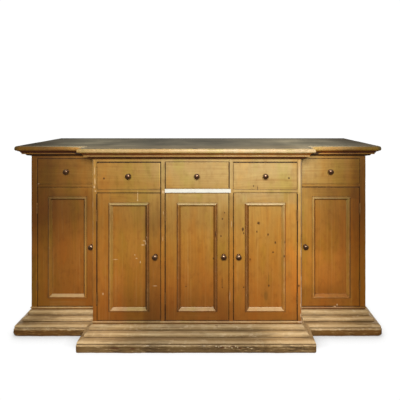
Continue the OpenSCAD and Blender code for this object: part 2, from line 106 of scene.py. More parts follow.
class Builder:
    """Collects boards and mouldings, each with its own grain direction, into one mesh."""

    def __init__(self):
        self.co, self.gco, self.dlo, self.dhi, self.rnd, self.paint, self.crest = [], [], [], [], [], [], []
        self.tint, self.edge = [], []
        self.faces, self.count = [], 0

    def push(self, co, faces, gco, dlo, dhi, rnd, paint, crest, tint=0.0, edge=0.0):
        n = len(co)
        self.co.append(co)
        self.gco.append(gco)
        self.dlo.append(dlo)
        self.dhi.append(dhi)
        self.rnd.append(np.full(n, rnd))
        self.paint.append(np.broadcast_to(paint, (n,)).astype(float))
        self.crest.append(np.broadcast_to(crest, (n,)).astype(float))
        self.tint.append(np.broadcast_to(tint, (n,)).astype(float))
        self.edge.append(np.full(n, float(edge)))
        self.faces += [[int(v) + self.count for v in f] for f in faces]
        self.count += n

    def board(self, lo, hi, r=0.0012, step=0.05, grain=None, wear=0.35, seed=1, paint=0.0, wave=0.0, tint=0.0, edge=0.5,
              free="xXyYzZ"):
        lo, hi = np.array(lo, float), np.array(hi, float)
        size = hi - lo
        if grain is None:
            grain = int(np.argmax(size))
        r = min(r, size.min() * 0.3)
        ax = [cuts(size[i], r, step) for i in range(3)]
        n = [len(a) for a in ax]
        i, j, k = np.meshgrid(*[np.arange(m) for m in n], indexing="ij")
        surf = (i == 0) | (i == n[0] - 1) | (j == 0) | (j == n[1] - 1) | (k == 0) | (k == n[2] - 1)
        ids = -np.ones(n, int)
        ids[surf] = np.arange(surf.sum())
        p = np.stack([ax[0][i], ax[1][j], ax[2][k]], -1)[surf]
        w = p + lo
        rl = np.clip(r * (1 + wear * (waves(w, seed, 9) + 0.6 * waves(w, seed + 5, 40))), 0.45 * r, 1.65 * r)[:, None]
        # faces that butt against another board keep square, clean arrises
        keep_lo = np.array([c in free for c in "xyz"], float)
        keep_hi = np.array([c in free for c in "XYZ"], float)
        q = np.clip(p, rl * keep_lo, size - rl * keep_hi)
        d = p - q
        m = np.linalg.norm(d, axis=1)[:, None]
        out = np.where(m > 1e-9, q + d / np.maximum(m, 1e-9) * rl, p) + lo
        if wave:
            # boards that have moved a little: the broad face is not dead flat
            thin = int(np.argmin(size))
            out[:, thin] += wave * waves(w, seed + 11, 1.6) * (m[:, 0] < rl[:, 0] * 1.01)
        faces = []
        for a in range(3):
            b, c = (a + 1) % 3, (a + 2) % 3
            for end in (0, n[a] - 1):
                sel = [slice(None)] * 3
                sel[a] = end
                g = ids[tuple(sel)]
                if (b, c) != tuple(x for x in range(3) if x != a):
                    g = g.T
                f = np.stack([g[:-1, :-1], g[1:, :-1], g[1:, 1:], g[:-1, 1:]], -1).reshape(-1, 4)
                faces.append(f if end else f[:, ::-1])
        others = [x for x in range(3) if x != grain]
        others.sort(key=lambda x: -size[x])
        rng = np.random.RandomState(seed * 7 + 3)
        off = rng.uniform(-1, 1, 3) * np.array([6.0, 3.0, 3.0])
        flip = rng.choice([-1, 1], 3)
        gco = w[:, [grain] + others] * flip + off
        self.push(out, np.concatenate(faces), gco, p + 0.5 * (1 - keep_lo), size - p + 0.5 * (1 - keep_hi), rng.uniform(), paint, 0.0,
                  tint, edge)

    def strip(self, prof, start, along, outward, up, len0, len1, grow0, grow1, step, seed, wear=0.0004,
              crest=None, paint=None, nick=0.0, nick_at=None, tint=0.0, paint_end=None):
        """One length of moulding. prof is [outward, up] in metres; its ends are mitred by grow0 and grow1 per unit outward."""
        prof = np.array(prof, float)
        start, along, outward, up = (np.array(v, float) for v in (start, along, outward, up))
        x0 = len0 - grow0 * prof[:, 0]
        x1 = len1 + grow1 * prof[:, 0]
        n = max(2, int(round((len1 - len0) / step)) + 1)
        t = np.linspace(0, 1, n)
        x = x0[None, :] + t[:, None] * (x1 - x0)[None, :]
        base = start + prof[:, :1] * outward + prof[:, 1:] * up
        co = base[None, :, :] + x[:, :, None] * along
        m = len(prof)
        # wear pushes the exposed arrises in along the profile's own normal
        nxt, prv = np.roll(prof, -1, 0), np.roll(prof, 1, 0)
        tan = nxt - prv
        tan /= np.maximum(np.linalg.norm(tan, axis=1)[:, None], 1e-9)
        area = 0.5 * np.sum(prof[:, 0] * nxt[:, 1] - nxt[:, 0] * prof[:, 1])
        nor = np.stack([tan[:, 1], -tan[:, 0]], 1) * (1 if area > 0 else -1)
        nor3 = nor[:, :1] * outward + nor[:, 1:] * up
        crest_v = np.zeros(m) if crest is None else np.array(crest, float)
        flat = co.reshape(-1, 3)
        dent = 0.5 * (waves(flat, seed, 6) + 0.7 * waves(flat, seed + 3, 28)).reshape(n, m)
        push = wear * dent * crest_v[None, :]
        if nick:
            at = np.array(nick_at if nick_at is not None else crest_v, float)
            bite = np.clip(waves(flat, seed + 9, 7) + 0.7 * waves(flat, seed + 10, 22) - 0.75, 0, 1).reshape(n, m)
            push = push - nick * bite * at[None, :]
        push[0] *= 0.3
        push[-1] *= 0.3
        co = co + push[:, :, None] * nor3[None, :, :]
        idx = np.arange(n * m).reshape(n, m)
        a, b = idx[:-1], idx[1:]
        quads = np.stack([a, np.roll(a, -1, 1), np.roll(b, -1, 1), b], -1).reshape(-1, 4)
        handed = np.dot(np.cross(along, outward), up) > 0
        if (area > 0) == handed:
            quads = quads[:, ::-1]
            caps = [list(idx[0][::-1]), list(idx[-1])]
        else:
            caps = [list(idx[0]), list(idx[-1][::-1])]
        rng = np.random.RandomState(seed * 5 + 1)
        off = rng.uniform(-1, 1, 3) * np.array([6.0, 3.0, 3.0])
        g = np.stack([np.broadcast_to(x, (n, m)), np.broadcast_to(prof[:, 1], (n, m)), np.broadcast_to(prof[:, 0], (n, m))], -1)
        far = np.full((n * m, 3), 0.5)
        pv = np.zeros(m) if paint is None else np.array(paint, float)
        if paint_end:
            # paint that has run over the arris near one end of the length
            at_end, reach, more = paint_end
            near = np.clip(1 - np.abs(x - (x0 if at_end == 0 else x1)[None, :]) / reach, 0, 1)
            pv = np.clip(pv[None, :] + near ** 0.6 * np.array(more, float)[None, :], 0, 1)
        self.push(co.reshape(-1, 3), list(quads) + caps, g.reshape(-1, 3) + off, far, far, rng.uniform(),
                  np.broadcast_to(pv, (n, m)).reshape(-1), np.broadcast_to(crest_v, (n, m)).reshape(-1),
                  np.broadcast_to(tint, (n, m)).reshape(-1))

    def turned(self, prof, centre, axis_y=-1, seg=48, seed=3, crest=0.0):
        """A turned shape: prof is [radius, out along -Y]."""
        prof = np.array(prof, float)
        a = np.linspace(0, 2 * math.pi, seg, endpoint=False)
        ring = np.stack([np.cos(a), np.sin(a)], 1)
        co, faces = [], []
        for rad, h in prof:
            co.append(np.stack([centre[0] + rad * ring[:, 0], np.full(seg, centre[1] - h), centre[2] + rad * ring[:, 1]], 1))
        co = np.concatenate(co)
        for s in range(len(prof) - 1):
            for i in range(seg):
                j = (i + 1) % seg
                faces.append([s * seg + i, s * seg + j, (s + 1) * seg + j, (s + 1) * seg + i])
        faces.append(list(range(seg))[::-1])
        faces.append([(len(prof) - 1) * seg + i for i in range(seg)])
        n = len(co)
        far = np.full((n, 3), 0.5)
        cv = np.repeat(np.broadcast_to(crest, (len(prof),)), seg)
        self.push(co, faces, co.copy(), far, far, 0.5, 0.0, cv)

    def build(self, name, mat, nodes, body=None, sharp=38, weighted=True):
        me = bpy.data.meshes.new(name)
        co = np.concatenate(self.co)
        me.from_pydata(co.tolist(), [], self.faces)
        for key, typ, data in (("gco", "FLOAT_VECTOR", self.gco), ("dlo", "FLOAT_VECTOR", self.dlo),
                               ("dhi", "FLOAT_VECTOR", self.dhi)):
            at = me.attributes.new(key, typ, "POINT")
            at.data.foreach_set("vector", np.concatenate(data).astype(np.float32).ravel())
        for key, data in (("rnd", self.rnd), ("paint", self.paint), ("crest", self.crest), ("tint", self.tint), ("edge", self.edge)):
            at = me.attributes.new(key, "FLOAT", "POINT")
            at.data.foreach_set("value", np.concatenate(data).astype(np.float32))
        me.polygons.foreach_set("use_smooth", [True] * len(me.polygons))
        me.update()
        me.set_sharp_from_angle(angle=math.radians(sharp))
        ob = bpy.data.objects.new(name, me)
        scene.collection.objects.link(ob)
        ob.data.materials.append(mat)
        if weighted:
            wn = ob.modifiers.new("normals", "WEIGHTED_NORMAL")
            wn.keep_sharp = True
            wn.weight = 60
        nodes = [nodes] if isinstance(nodes, str) else list(nodes)
        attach(ob, body or BODY[nodes[0]])
        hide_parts(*nodes)
        return ob


def solids(node):
    """The boxes of a CAD node's separate solids, as (low, high)."""
    me = frame["nodes"][node].data
    n = len(me.vertices)
    co = np.zeros(n * 3, np.float32)
    me.vertices.foreach_get("co", co)
    co = co.reshape(-1, 3).astype(float)
    key = np.round(co * 20000).astype(np.int64)
    _, weld = np.unique(key, axis=0, return_inverse=True)
    weld = weld.reshape(-1)
    parent = list(range(weld.max() + 1))

    def find(a):
        while parent[a] != a:
            parent[a] = parent[parent[a]]
            a = parent[a]
        return a

    for p in me.polygons:
        v = [int(weld[i]) for i in p.vertices]
        for b in v[1:]:
            ra, rb = find(v[0]), find(b)
            if ra != rb:
                parent[ra] = rb
    roots = np.array([find(int(w)) for w in weld])
    out = []
    for r in np.unique(roots):
        pts = co[roots == r]
        out.append((pts.min(0), pts.max(0)))
    out.sort(key=lambda b: (round(b[0][2], 4), round(b[0][0], 4), round(b[0][1], 4)))
    return out


def arc(cx, cz, rx, rz, a0, a1, n):
    return [(cx + rx * math.cos(math.radians(a0 + (a1 - a0) * i / n)),
             cz + rz * math.sin(math.radians(a0 + (a1 - a0) * i / n))) for i in range(n + 1)]


# ---------------------------------------------------------------- shader helpers
class Nodes:
    def __init__(self, tree):
        self.t = tree

    def new(self, kind, **props):
        n = self.t.nodes.new(kind)
        for k, v in props.items():
            setattr(n, k, v)
        return n

    def put(self, sock, v):
        if hasattr(v, "is_output"):
            self.t.links.new(v, sock)
        elif isinstance(v, (tuple, list)) and len(v) == 3 and sock.type == "RGBA":
            sock.default_value = (*v, 1)
        else:
            sock.default_value = v

    def math(self, op, a, b=0.0, c=0.0, clamp=False):
        n = self.new("ShaderNodeMath", operation=op, use_clamp=clamp)
        for s, v in zip(n.inputs, (a, b, c)):
            self.put(s, v)
        return n.outputs[0]

    def vec(self, op, a, b=(0, 0, 0), c=(0, 0, 0)):
        n = self.new("ShaderNodeVectorMath", operation=op)
        self.put(n.inputs[0], a)
        self.put(n.inputs[1], b)
        if op == "MULTIPLY_ADD":
            self.put(n.inputs[2], c)
        return n.outputs["Value"] if op in ("LENGTH", "DISTANCE", "DOT_PRODUCT") else n.outputs["Vector"]

    def attr(self, name):
        return self.new("ShaderNodeAttribute", attribute_name=name)

    def noise(self, v, scale, detail=2.0, rough=0.5, dist=0.0):
        n = self.new("ShaderNodeTexNoise")
        self.put(n.inputs["Vector"], v)
        n.inputs["Scale"].default_value = scale
        n.inputs["Detail"].default_value = detail
        n.inputs["Roughness"].default_value = rough
        n.inputs["Distortion"].default_value = dist
        return n.outputs["Fac"]

    def step(self, v, a, b, lo=0.0, hi=1.0, smooth=True):
        n = self.new("ShaderNodeMapRange", interpolation_type="SMOOTHSTEP" if smooth else "LINEAR")
        self.put(n.inputs["Value"], v)
        n.inputs["From Min"].default_value = a
        n.inputs["From Max"].default_value = b
        n.inputs["To Min"].default_value = lo
        n.inputs["To Max"].default_value = hi
        return n.outputs["Result"]

    def band(self, v, a, b, c, d, k=1.0):
        """0 below a, k from b to c, 0 above d."""
        return self.math("MULTIPLY", self.step(v, a, b, 0, k), self.step(v, d, c))

    def mix(self, f, a, b, mode="MIX"):
        n = self.new("ShaderNodeMix", data_type="RGBA", blend_type=mode)
        n.clamp_factor = True
        self.put(n.inputs[0], f)
        self.put(n.inputs[6], a)
        self.put(n.inputs[7], b)
        return n.outputs[2]

    def ramp(self, f, stops):
        n = self.new("ShaderNodeValToRGB")
        cr = n.color_ramp
        while len(cr.elements) > 1:
            cr.elements.remove(cr.elements[0])
        cr.elements[0].position = stops[0][0]
        cr.elements[0].color = (*stops[0][1], 1)
        for pos, col in stops[1:]:
            cr.elements.new(pos).color = (*col, 1)
        self.put(n.inputs[0], f)
        return n.outputs[0]

    def split(self, v):
        n = self.new("ShaderNodeSeparateXYZ")
        self.put(n.inputs[0], v)
        return n.outputs

    def join(self, x, y, z):
        n = self.new("ShaderNodeCombineXYZ")
        for s, v in zip(n.inputs, (x, y, z)):
            self.put(s, v)
        return n.outputs[0]


def srgb(r, g, b):
    def f(c):
        c /= 255.0
        return c / 12.92 if c <= 0.04045 else ((c + 0.055) / 1.055) ** 2.4
    return (f(r), f(g), f(b))


# Small marks of age on the front: x, z, half width, half height in millimetres, and the face they lie on
LIGHT_MARKS = [
    (-319, 790, 1.5, 30, YC), (-319, 766, 4.0, 5, YC), (-277, 535, 4, 11, YC), (-283, 546, 9, 3.2, YC), (-292, 524, 10, 3, YC),
    (-270, 571, 3, 5, YC), (-440, 446, 15, 1.8, YC), (-327, 452, 6, 3, YC), (-306, 431, 3, 7, YC), (-336, 470, 3, 4, YC),
    (-226, 307, 14, 1.8, YC), (-505, 264, 3.5, 7, YC), (557, 490, 2.2, 26, YC), (558, 262, 2.0, 58, YC),
    (558, 345, 1.6, 20, YC), (556, 204, 3.0, 14, YC), (798, 130, 4, 6, YS), (785, 121, 9, 3, YS), (-921, 826, 5, 2, YS),
    (-550, 925, 2.2, 24, YC), (-548, 868, 2.8, 20, YC), (-551, 838, 5.0, 7, YC), (-545, 816, 5, 4, YC), (549, 880, 3.2, 74, YC), (-181, 700, 1.4, 10, YC),
    (-183, 812, 7, 9, YC), (-184, 560, 1.2, 14, YC), (184, 640, 1.4, 20, YC), (176, 250, 1.4, 34, YC),
    (556, 150, 3, 10, YC),
]
DARK_MARKS = [
    (331, 642, 8.5, 9.5, YC), (322, 596, 4.0, 7, YC), (382, 580, 5, 8, YC), (421, 537, 5.0, 8.5, YC),
    (409, 485, 6, 5.5, YC), (386, 344, 1.6, 40, YC), (386, 305, 5.0, 7.5, YC), (285, 446, 3, 8, YC),
    (246, 610, 6, 12, YC), (250, 590, 4, 6, YC), (136, 667, 4, 6, YC), (128, 575, 4, 6, YC), (88, 452, 5, 6, YC),
    (134, 330, 1.8, 30, YC), (134, 300, 3.0, 5, YC), (98, 588, 3.5, 18, YC), (303, 843, 2.2, 6, YC), (325, 832, 2, 12, YC),
    (493, 886, 6, 5, YC), (-60, 300, 4, 4, YC), (148, 700, 3, 4, YC), (-500, 884, 5, 6, YC),
    (470, 545, 4, 7, YC), (466, 470, 4, 8, YC), (546, 308, 5, 7, YC), (250, 300, 3, 5, YC),
]


FLAKES = [(102, 35, 4, 2.5, -0.289), (116, 31, 3, 3, -0.289), (128, 35, 5, 2, -0.289), (149, 26, 2.5, 4, -0.289), (170, 33, 4, 2.5, -0.289),
          (184, 27, 5, 3, -0.289), (203, 34, 3.5, 2.5, -0.289), (214, 29, 2.5, 5, -0.289), (266, 30, 7, 2, -0.289), (286, 24, 8, 2, -0.289),
          (-252, 36, 10, 1.5, -0.289), (-60, 33, 8, 1.5, -0.289), (40, 36, 9, 1.5, -0.289)]
SORES = [(134, 28, 10, 6, -0.289), (160, 31, 9, 6, -0.289), (190, 33, 10, 5, -0.289), (225, 25, 12, 5, -0.289), (-420, 24, 30, 6, -0.289),
         (-330, 22, 18, 6, -0.289), (108, 97, 4, 3, -0.245), (104, 101, 9, 1.6, -0.240)]


# Straight dark lines painted along the gaps, a painted shade wider than the gaps themselves, with one painted shadow
# beside the right-hand corner of the middle section: x0, z0, x1, z1, half width in millimetres, and the face
GAP_SHADE_LINES = [
    (-536, 971.0, -196, 971.0, 3.2, YC), (-195, 560, -195, 973, 2.5, YC), (-195, 120, -195, 560, 1.7, YC),
    (196, 970.6, 536, 970.6, 3.1, YC), (195, 120, 195, 800, 2.0, YC), (538.6, 540, 538.6, 800, 3.0, YC),
    (538.4, 120, 538.4, 540, 2.0, YC), (-171, 810, -171, 973, 2.4, YC), (-171.5, 120, -171.5, 810, 2.7, YC),
    (173, 830, 173, 973, 1.8, YC), (171.5, 480, 171.5, 805, 1.5, YC), (171, 120, 171, 480, 1.1, YC), (-171, 973.2, 171, 973.2, 1.2, YC),
    (-171, 804.6, 171, 804.6, 1.1, YC), (588, 808, 730, 808, 3.0, YS), (730, 808, 927, 808, 2.3, YS),
    (-536, 805.4, -330, 805.4, 1.2, YC), (-330, 805.4, -196, 805.4, 1.9, YC), (-539, 200, -539, 800, 1.9, YC),
    (-927, 150, -927, 960, 1.4, YS), (593.6, 130, 593.6, 968, 1.4, YS), (-925, 971.6, -588, 971.6, 2.1, YS), (600, 972.6, 925, 972.6, 2.0, YS),
]
# and straight pale lines where an arris is rubbed bare
PALE_LINES = [(-932.6, 150, -932.6, 968, 1.5, YS), (547, 150, 547, 985, 2.4, YC), (-201, 840, -201, 965, 2.0, YC), (-549, 815, -549, 985, 1.8, YC)]


def mark_mask(n, obj, marks, seed):
    best = None
    for x, z, hw, hh, y in marks:
        sx, sy, sz = 1000.0 / hw, 1 / 0.02, 1000.0 / hh
        v = n.vec("MULTIPLY_ADD", obj, (sx, sy, sz), (-x * sx / 1000, -y * sy, -z * sz / 1000))
        d = n.vec("LENGTH", v)
        best = d if best is None else n.math("MINIMUM", best, d)
    rough = n.noise(n.vec("ADD", obj, (seed, 0, 0)), 210, 4, 0.65)
    return n.step(n.math("ADD", best, n.math("MULTIPLY", rough, 1.3)), 1.95, 1.05)


def line_mask(n, obj, lines):
    best = None
    for x0, z0, x1, z1, hw, y in lines:
        hx, hz = max(abs(x1 - x0) / 2, hw), max(abs(z1 - z0) / 2, hw)
        # one unit outside the box is one half width, whichever side it is
        sx, sz = 1000.0 / hw, 1000.0 / hw
        cx, cz = (x0 + x1) / 2000, (z0 + z1) / 2000
        v = n.vec("ABSOLUTE", n.vec("MULTIPLY_ADD", obj, (sx, 1 / 0.03, sz), (-cx * sx, -y / 0.03, -cz * sz)))
        v = n.vec("SUBTRACT", v, (hx / hw, 1, hz / hw))
        x_, y_, z_ = n.split(v)
        d = n.math("MAXIMUM", n.math("MAXIMUM", x_, z_), n.math("MULTIPLY", y_, 5.0))
        best = d if best is None else n.math("MINIMUM", best, d)
    rough = n.noise(obj, 120, 3, 0.6)
    return n.step(n.math("MULTIPLY_ADD", rough, 0.9, best), 0.85, 0.15)


def wood(name, stops, grain=0.5, rough=0.5, spec=0.4, coat=0.1, front=False, foot=False, crevice_shade_and_grime=0.75, worn=0.5,
         worn_col=(0.62, 0.47, 0.27), tone0=0.5, spread=0.3, dark_arris=0.6):
    """Pine with rings and fibres along each board. stops is its colour ramp, from dark and orange to pale and yellow."""
    mat = bpy.data.materials.new(name)
    mat.use_nodes = True
    n = Nodes(mat.node_tree)
    bsdf = mat.node_tree.nodes["Principled BSDF"]
    g = n.attr("gco").outputs["Vector"]
    rnd = n.attr("rnd").outputs["Fac"]
    crest = n.attr("crest").outputs["Fac"]
    tint = n.attr("tint").outputs["Fac"]
    obj = n.new("ShaderNodeTexCoord").outputs["Object"]
    gx, gy, gz = n.split(g)
    px, py, pz = n.split(obj)

    # growth rings, cut through lengthways
    bend = n.noise(n.vec("MULTIPLY", g, (0.8, 4.0, 4.0)), 1.5, 2, 0.5)
    fine = n.noise(n.vec("MULTIPLY", g, (2.5, 30, 30)), 1.0, 3, 0.6)
    across = n.math("MULTIPLY_ADD", gy, 46.0, n.math("MULTIPLY", gz, 60.0))
    ring = n.math("ADD", n.math("MULTIPLY_ADD", bend, 10.0, across), n.math("MULTIPLY", fine, 1.5))
    saw = n.math("FRACT", ring)
    late = n.math("MULTIPLY", n.step(saw, 0.05, 0.8), n.step(saw, 1.0, 0.82))
    fibre = n.noise(n.vec("MULTIPLY", g, (4.0, 330, 330)), 1.0, 3, 0.6)
    streak = n.noise(n.vec("MULTIPLY", g, (1.6, 75, 75)), 1.0, 3, 0.6)
    wide = n.noise(n.vec("MULTIPLY", g, (0.8, 14, 14)), 1.4, 2, 0.5)
    blotch = n.noise(n.vec("MULTIPLY", g, (1.3, 2.6, 2.6)), 3.4, 4, 0.6)
    cloud = n.noise(obj, 2.6, 3, 0.55)

    # patina and painted light: yellower and paler above, more orange and darker below and towards the ends, which also
    # paints in the lamp's fall-off and, high in the middle, the wax's sheen; each board a little different
    if front:
        base = n.step(pz, 0.10, 0.93, smooth=False)
        left = n.step(px, -0.02, -0.98, 0, 0.60)
        right = n.step(px, 0.50, 0.95, 0, 0.55)
        end_falloff_and_patina = n.math("MULTIPLY", n.math("ADD", left, right), n.math("MULTIPLY_ADD", base, 0.8, 0.2))
        tone = n.math("SUBTRACT", base, end_falloff_and_patina)
    else:
        tone = tone0
    tone = n.math("ADD", tone, n.math("MULTIPLY_ADD", blotch, 0.6 * spread, -0.3 * spread))
    tone = n.math("ADD", tone, n.math("MULTIPLY_ADD", rnd, 0.5 * spread, -0.25 * spread))
    tone = n.math("ADD", tone, n.math("MULTIPLY_ADD", cloud, 0.6 * spread, -0.3 * spread))
    tone = n.math("ADD", tone, n.math("MULTIPLY", tint, 0.5), clamp=True)
    col = n.ramp(tone, stops)
    mid_c = stops[len(stops) // 2][1]
    # the tint attribute paints light and shade on the mouldings: below -0.1 the colour is darkened and below -2 made
    # nearly black, a painted shade under the cornice and in the grooves of the plinth; above 0.9 it is made paler, a
    # painted highlight on faces turned to the lamp; on the door mouldings part of the dark is grime beside the knobs
    col = n.mix(n.step(tint, -0.1, -2.0, 0, 0.9, smooth=False), col, tuple(c * k for c, k in zip(mid_c, (0.16, 0.11, 0.09))))
    col = n.mix(n.step(tint, -2.0, -3.0, 0, 0.9, smooth=False), col, (0.012, 0.004, 0.001))
    col = n.mix(n.step(tint, 0.9, 2.6, 0, 0.80), col, (0.60, 0.385, 0.19) if front else worn_col)
    col = n.mix(n.math("MULTIPLY", late, (0.14 if front else 0.30) * grain), col, tuple(c * k for c, k in zip(mid_c, (0.50, 0.40, 0.30))))
    col = n.mix(n.math("MULTIPLY", n.step(fibre, 0.48, 0.75), 0.26 * grain), col, tuple(c * 0.45 for c in mid_c))
    col = n.mix(n.math("MULTIPLY", n.step(streak, 0.5, 0.72), (0.24 if front else 0.36) * grain), col, tuple(c * k for c, k in zip(mid_c, (0.62, 0.52, 0.45))))
    col = n.mix(n.math("MULTIPLY", n.step(wide, 0.52, 0.75), (0.28 if front else 0.36) * grain), col, tuple(c * k for c, k in zip(mid_c, (0.75, 0.60, 0.50))))
    col = n.mix(n.math("MULTIPLY", n.step(streak, 0.46, 0.28), (0.12 if front else 0.26) * grain), col, tuple(min(1, c * 1.3) for c in stops[-1][1]))

    if front:
        # the hue wanders from olive to orange, and old wax lies in faint runs and clouds
        hue = n.noise(n.vec("MULTIPLY", obj, (4.2, 3.0, 1.5)), 2.2, 3, 0.6)
        col = n.mix(n.math("MULTIPLY", n.step(hue, 0.50, 0.66), 0.55), col, (1.08, 0.91, 0.64), "MULTIPLY")
        col = n.mix(n.math("MULTIPLY", n.step(hue, 0.50, 0.34), 0.75), col, (0.90, 1.01, 0.72), "MULTIPLY")
        runs = n.noise(n.vec("MULTIPLY", obj, (42, 42, 1.8)), 1.0, 3, 0.6)
        mottle = n.noise(n.vec("MULTIPLY", obj, (1.4, 1.4, 0.8)), 26, 4, 0.62)
        col = n.mix(n.math("MULTIPLY", n.step(runs, 0.50, 0.70), 0.12), col, (0.55, 0.45, 0.30), "MULTIPLY")
        col = n.mix(n.math("MULTIPLY", n.step(mottle, 0.50, 0.68), 0.30), col, (0.60, 0.48, 0.35), "MULTIPLY")
        col = n.mix(n.math("MULTIPLY", n.step(mottle, 0.47, 0.32), 0.22), col, (1.30, 1.28, 1.25), "MULTIPLY")

    # knots
    vor = n.new("ShaderNodeTexVoronoi", feature="F1")
    n.put(vor.inputs["Vector"], n.vec("MULTIPLY", g, (1.9, 4.6, 4.6)))
    vor.inputs["Scale"].default_value = 1.0
    pick = n.math("GREATER_THAN", n.split(vor.outputs["Color"])[0], 0.86)
    knot = n.math("MULTIPLY", n.step(vor.outputs["Distance"], 0.07, 0.025), pick)
    halo = n.math("MULTIPLY", n.step(vor.outputs["Distance"], 0.2, 0.05), pick)
    col = n.mix(n.math("MULTIPLY", halo, 0.25), col, tuple(c * 0.6 for c in mid_c))
    col = n.mix(n.math("MULTIPLY", knot, 0.5), col, tuple(c * 0.35 for c in mid_c))

    # a nudge too small to see: what follows is worked out after the knots, which keeps the shader within its memory
    px, py, pz = (n.math("MULTIPLY_ADD", knot, 1e-7, v) for v in (px, py, pz))

    # how near the point is to an arris of its board
    m = n.vec("MINIMUM", n.attr("dlo").outputs["Vector"], n.attr("dhi").outputs["Vector"])
    ax, ay, az = n.split(m)
    small = n.math("MINIMUM", n.math("MINIMUM", ax, ay), az)
    big = n.math("MAXIMUM", n.math("MAXIMUM", ax, ay), az)
    mid = n.math("SUBTRACT", n.math("SUBTRACT", n.math("ADD", n.math("ADD", ax, ay), az), small), big)
    chip = n.noise(obj, 60, 3, 0.6)
    chip2 = n.noise(obj, 14, 2, 0.6)
    rub_noise = n.step(n.math("ADD", chip, n.math("MULTIPLY", chip2, 0.6)), 0.78, 1.02)
    edge = n.step(mid, 0.0040, 0.0008)
    if front:
        # the arrises of the breakfront are rubbed pale; those beside a gap are darkened, grime and a painted shade of
        # the gap together
        corner = n.math("MULTIPLY", n.step(n.math("ABSOLUTE", n.math("SUBTRACT", n.math("ABSOLUTE", px), 0.5595)), 0.006, 0.002),
                        n.math("MULTIPLY", n.step(py, YS - 0.02, YC + 0.02), n.math("MAXIMUM", n.step(px, -0.2, 0.2), n.step(pz, 0.34, 0.62, 0.25, 1.0))))
        pale = n.math("MULTIPLY", edge, corner)
        width = n.math("MULTIPLY_ADD", n.attr("edge").outputs["Fac"], 0.0016, 0.0005)
        gone = n.math("MULTIPLY", n.step(n.math("DIVIDE", mid, width), 1.25, 0.35), n.math("SUBTRACT", 1.0, corner))
        col = n.mix(n.math("MULTIPLY", gone, dark_arris), col, (0.070, 0.026, 0.004))
        wear = n.math("MULTIPLY", n.math("MAXIMUM", n.math("MULTIPLY", crest, 0.5), pale), rub_noise)
        lift = n.math("MULTIPLY", n.math("MAXIMUM", pale, n.math("MULTIPLY", crest, 0.4)), 0.5)
        col = n.mix(lift, col, n.mix(0.5, col, worn_col))
    else:
        wear = n.math("MULTIPLY", n.math("MAXIMUM", edge, crest), rub_noise)
    col = n.mix(n.math("MULTIPLY", wear, worn), col, worn_col)
    # handling darkens the wood just inside its edges
    grime = n.math("MULTIPLY", n.step(mid, 0.016, 0.002), n.step(chip2, 0.40, 0.66))
    col = n.mix(n.math("MULTIPLY", grime, 0.22), col, tuple(c * 0.4 for c in mid_c))

    if front:
        # painted shade: the front is darkened towards the ends, most of all high up, as the lamp's light falls off
        # there, and in patches across the middle, low down and about the door tops
        ends = n.math("ADD", n.step(pz, 0.25, 0.58, 0, 0.76), n.step(pz, 0.62, 0.90, 0, 0.24))
        shade = n.math("MULTIPLY", n.step(px, -0.62, -0.95, 0, 0.72), ends)
        shade = n.math("ADD", shade, n.math("MULTIPLY", n.step(px, 0.64, 0.95, 0, 0.62), n.step(pz, 0.28, 0.70, 0.3, 1.0)))
        shade = n.math("ADD", shade, n.math("MULTIPLY", n.band(px, 0.64, 0.72, 0.76, 0.84, 0.18), n.band(pz, 0.50, 0.64, 0.78, 0.84)))
        shade = n.math("ADD", shade, n.math("MULTIPLY", n.band(px, -0.82, -0.72, -0.64, -0.575, 0.16), n.step(pz, 0.46, 0.56)))
        shade = n.math("ADD", shade, n.math("MULTIPLY", n.band(px, 0.20, 0.28, 0.42, 0.48, 0.13), n.step(pz, 0.195, 0.170)))
        shade = n.math("ADD", shade, n.math("MULTIPLY", n.band(px, 0.585, 0.62, 0.93, 0.94, 0.13), n.band(pz, 0.735, 0.750, 0.80, 0.812)))
        shade = n.math("ADD", shade, n.math("MULTIPLY", n.step(px, 0.86, 0.91, 0, 0.13), n.step(pz, 1.03, 1.02)))
        shade = n.math("MULTIPLY", shade, n.math("MULTIPLY", n.step(py, 0.00, -0.09, 0.30, 1.0), n.step(pz, 1.040, 1.028, 0.42, 1.0)))
        shade = n.math("ADD", shade, n.math("MULTIPLY", n.math("ADD", n.step(px, -0.54, -0.96, 0, 0.66), n.step(px, 0.60, 1.00, 0, 0.58)), n.step(pz, 0.999, 1.003)))
        middle = n.math("ADD", n.step(px, 0.24, 0.02, 0, 0.11), n.math("MULTIPLY", n.step(px, -0.12, -0.24, 0, 0.10), n.step(pz, 0.45, 0.7)))
        heads = n.math("MULTIPLY", n.step(n.math("ABSOLUTE", n.math("SUBTRACT", pz, 0.69)), 0.13, 0.05, 0, 0.12), n.step(px, 0.30, 0.18))
        feet = n.math("MULTIPLY", n.step(pz, 0.36, 0.14, 0, 0.30), n.step(n.math("ABSOLUTE", n.math("ADD", px, 0.12)), 0.50, 0.25))
        # hands have darkened the stiles that carry the knobs
        held = n.math("ADD", n.band(px, -0.300, -0.276, -0.202, -0.192, 0.20), n.band(px, 0.094, 0.114, 0.166, 0.178, 0.14))
        held = n.math("MULTIPLY", n.math("ADD", held, n.band(px, -0.178, -0.168, -0.128, -0.104, 0.10)), n.step(pz, 0.78, 0.64))
        middle = n.math("ADD", n.math("ADD", middle, held), n.math("ADD", heads, feet))
        shade = n.math("ADD", shade, n.math("MULTIPLY", middle, n.step(pz, 1.03, 1.02)))
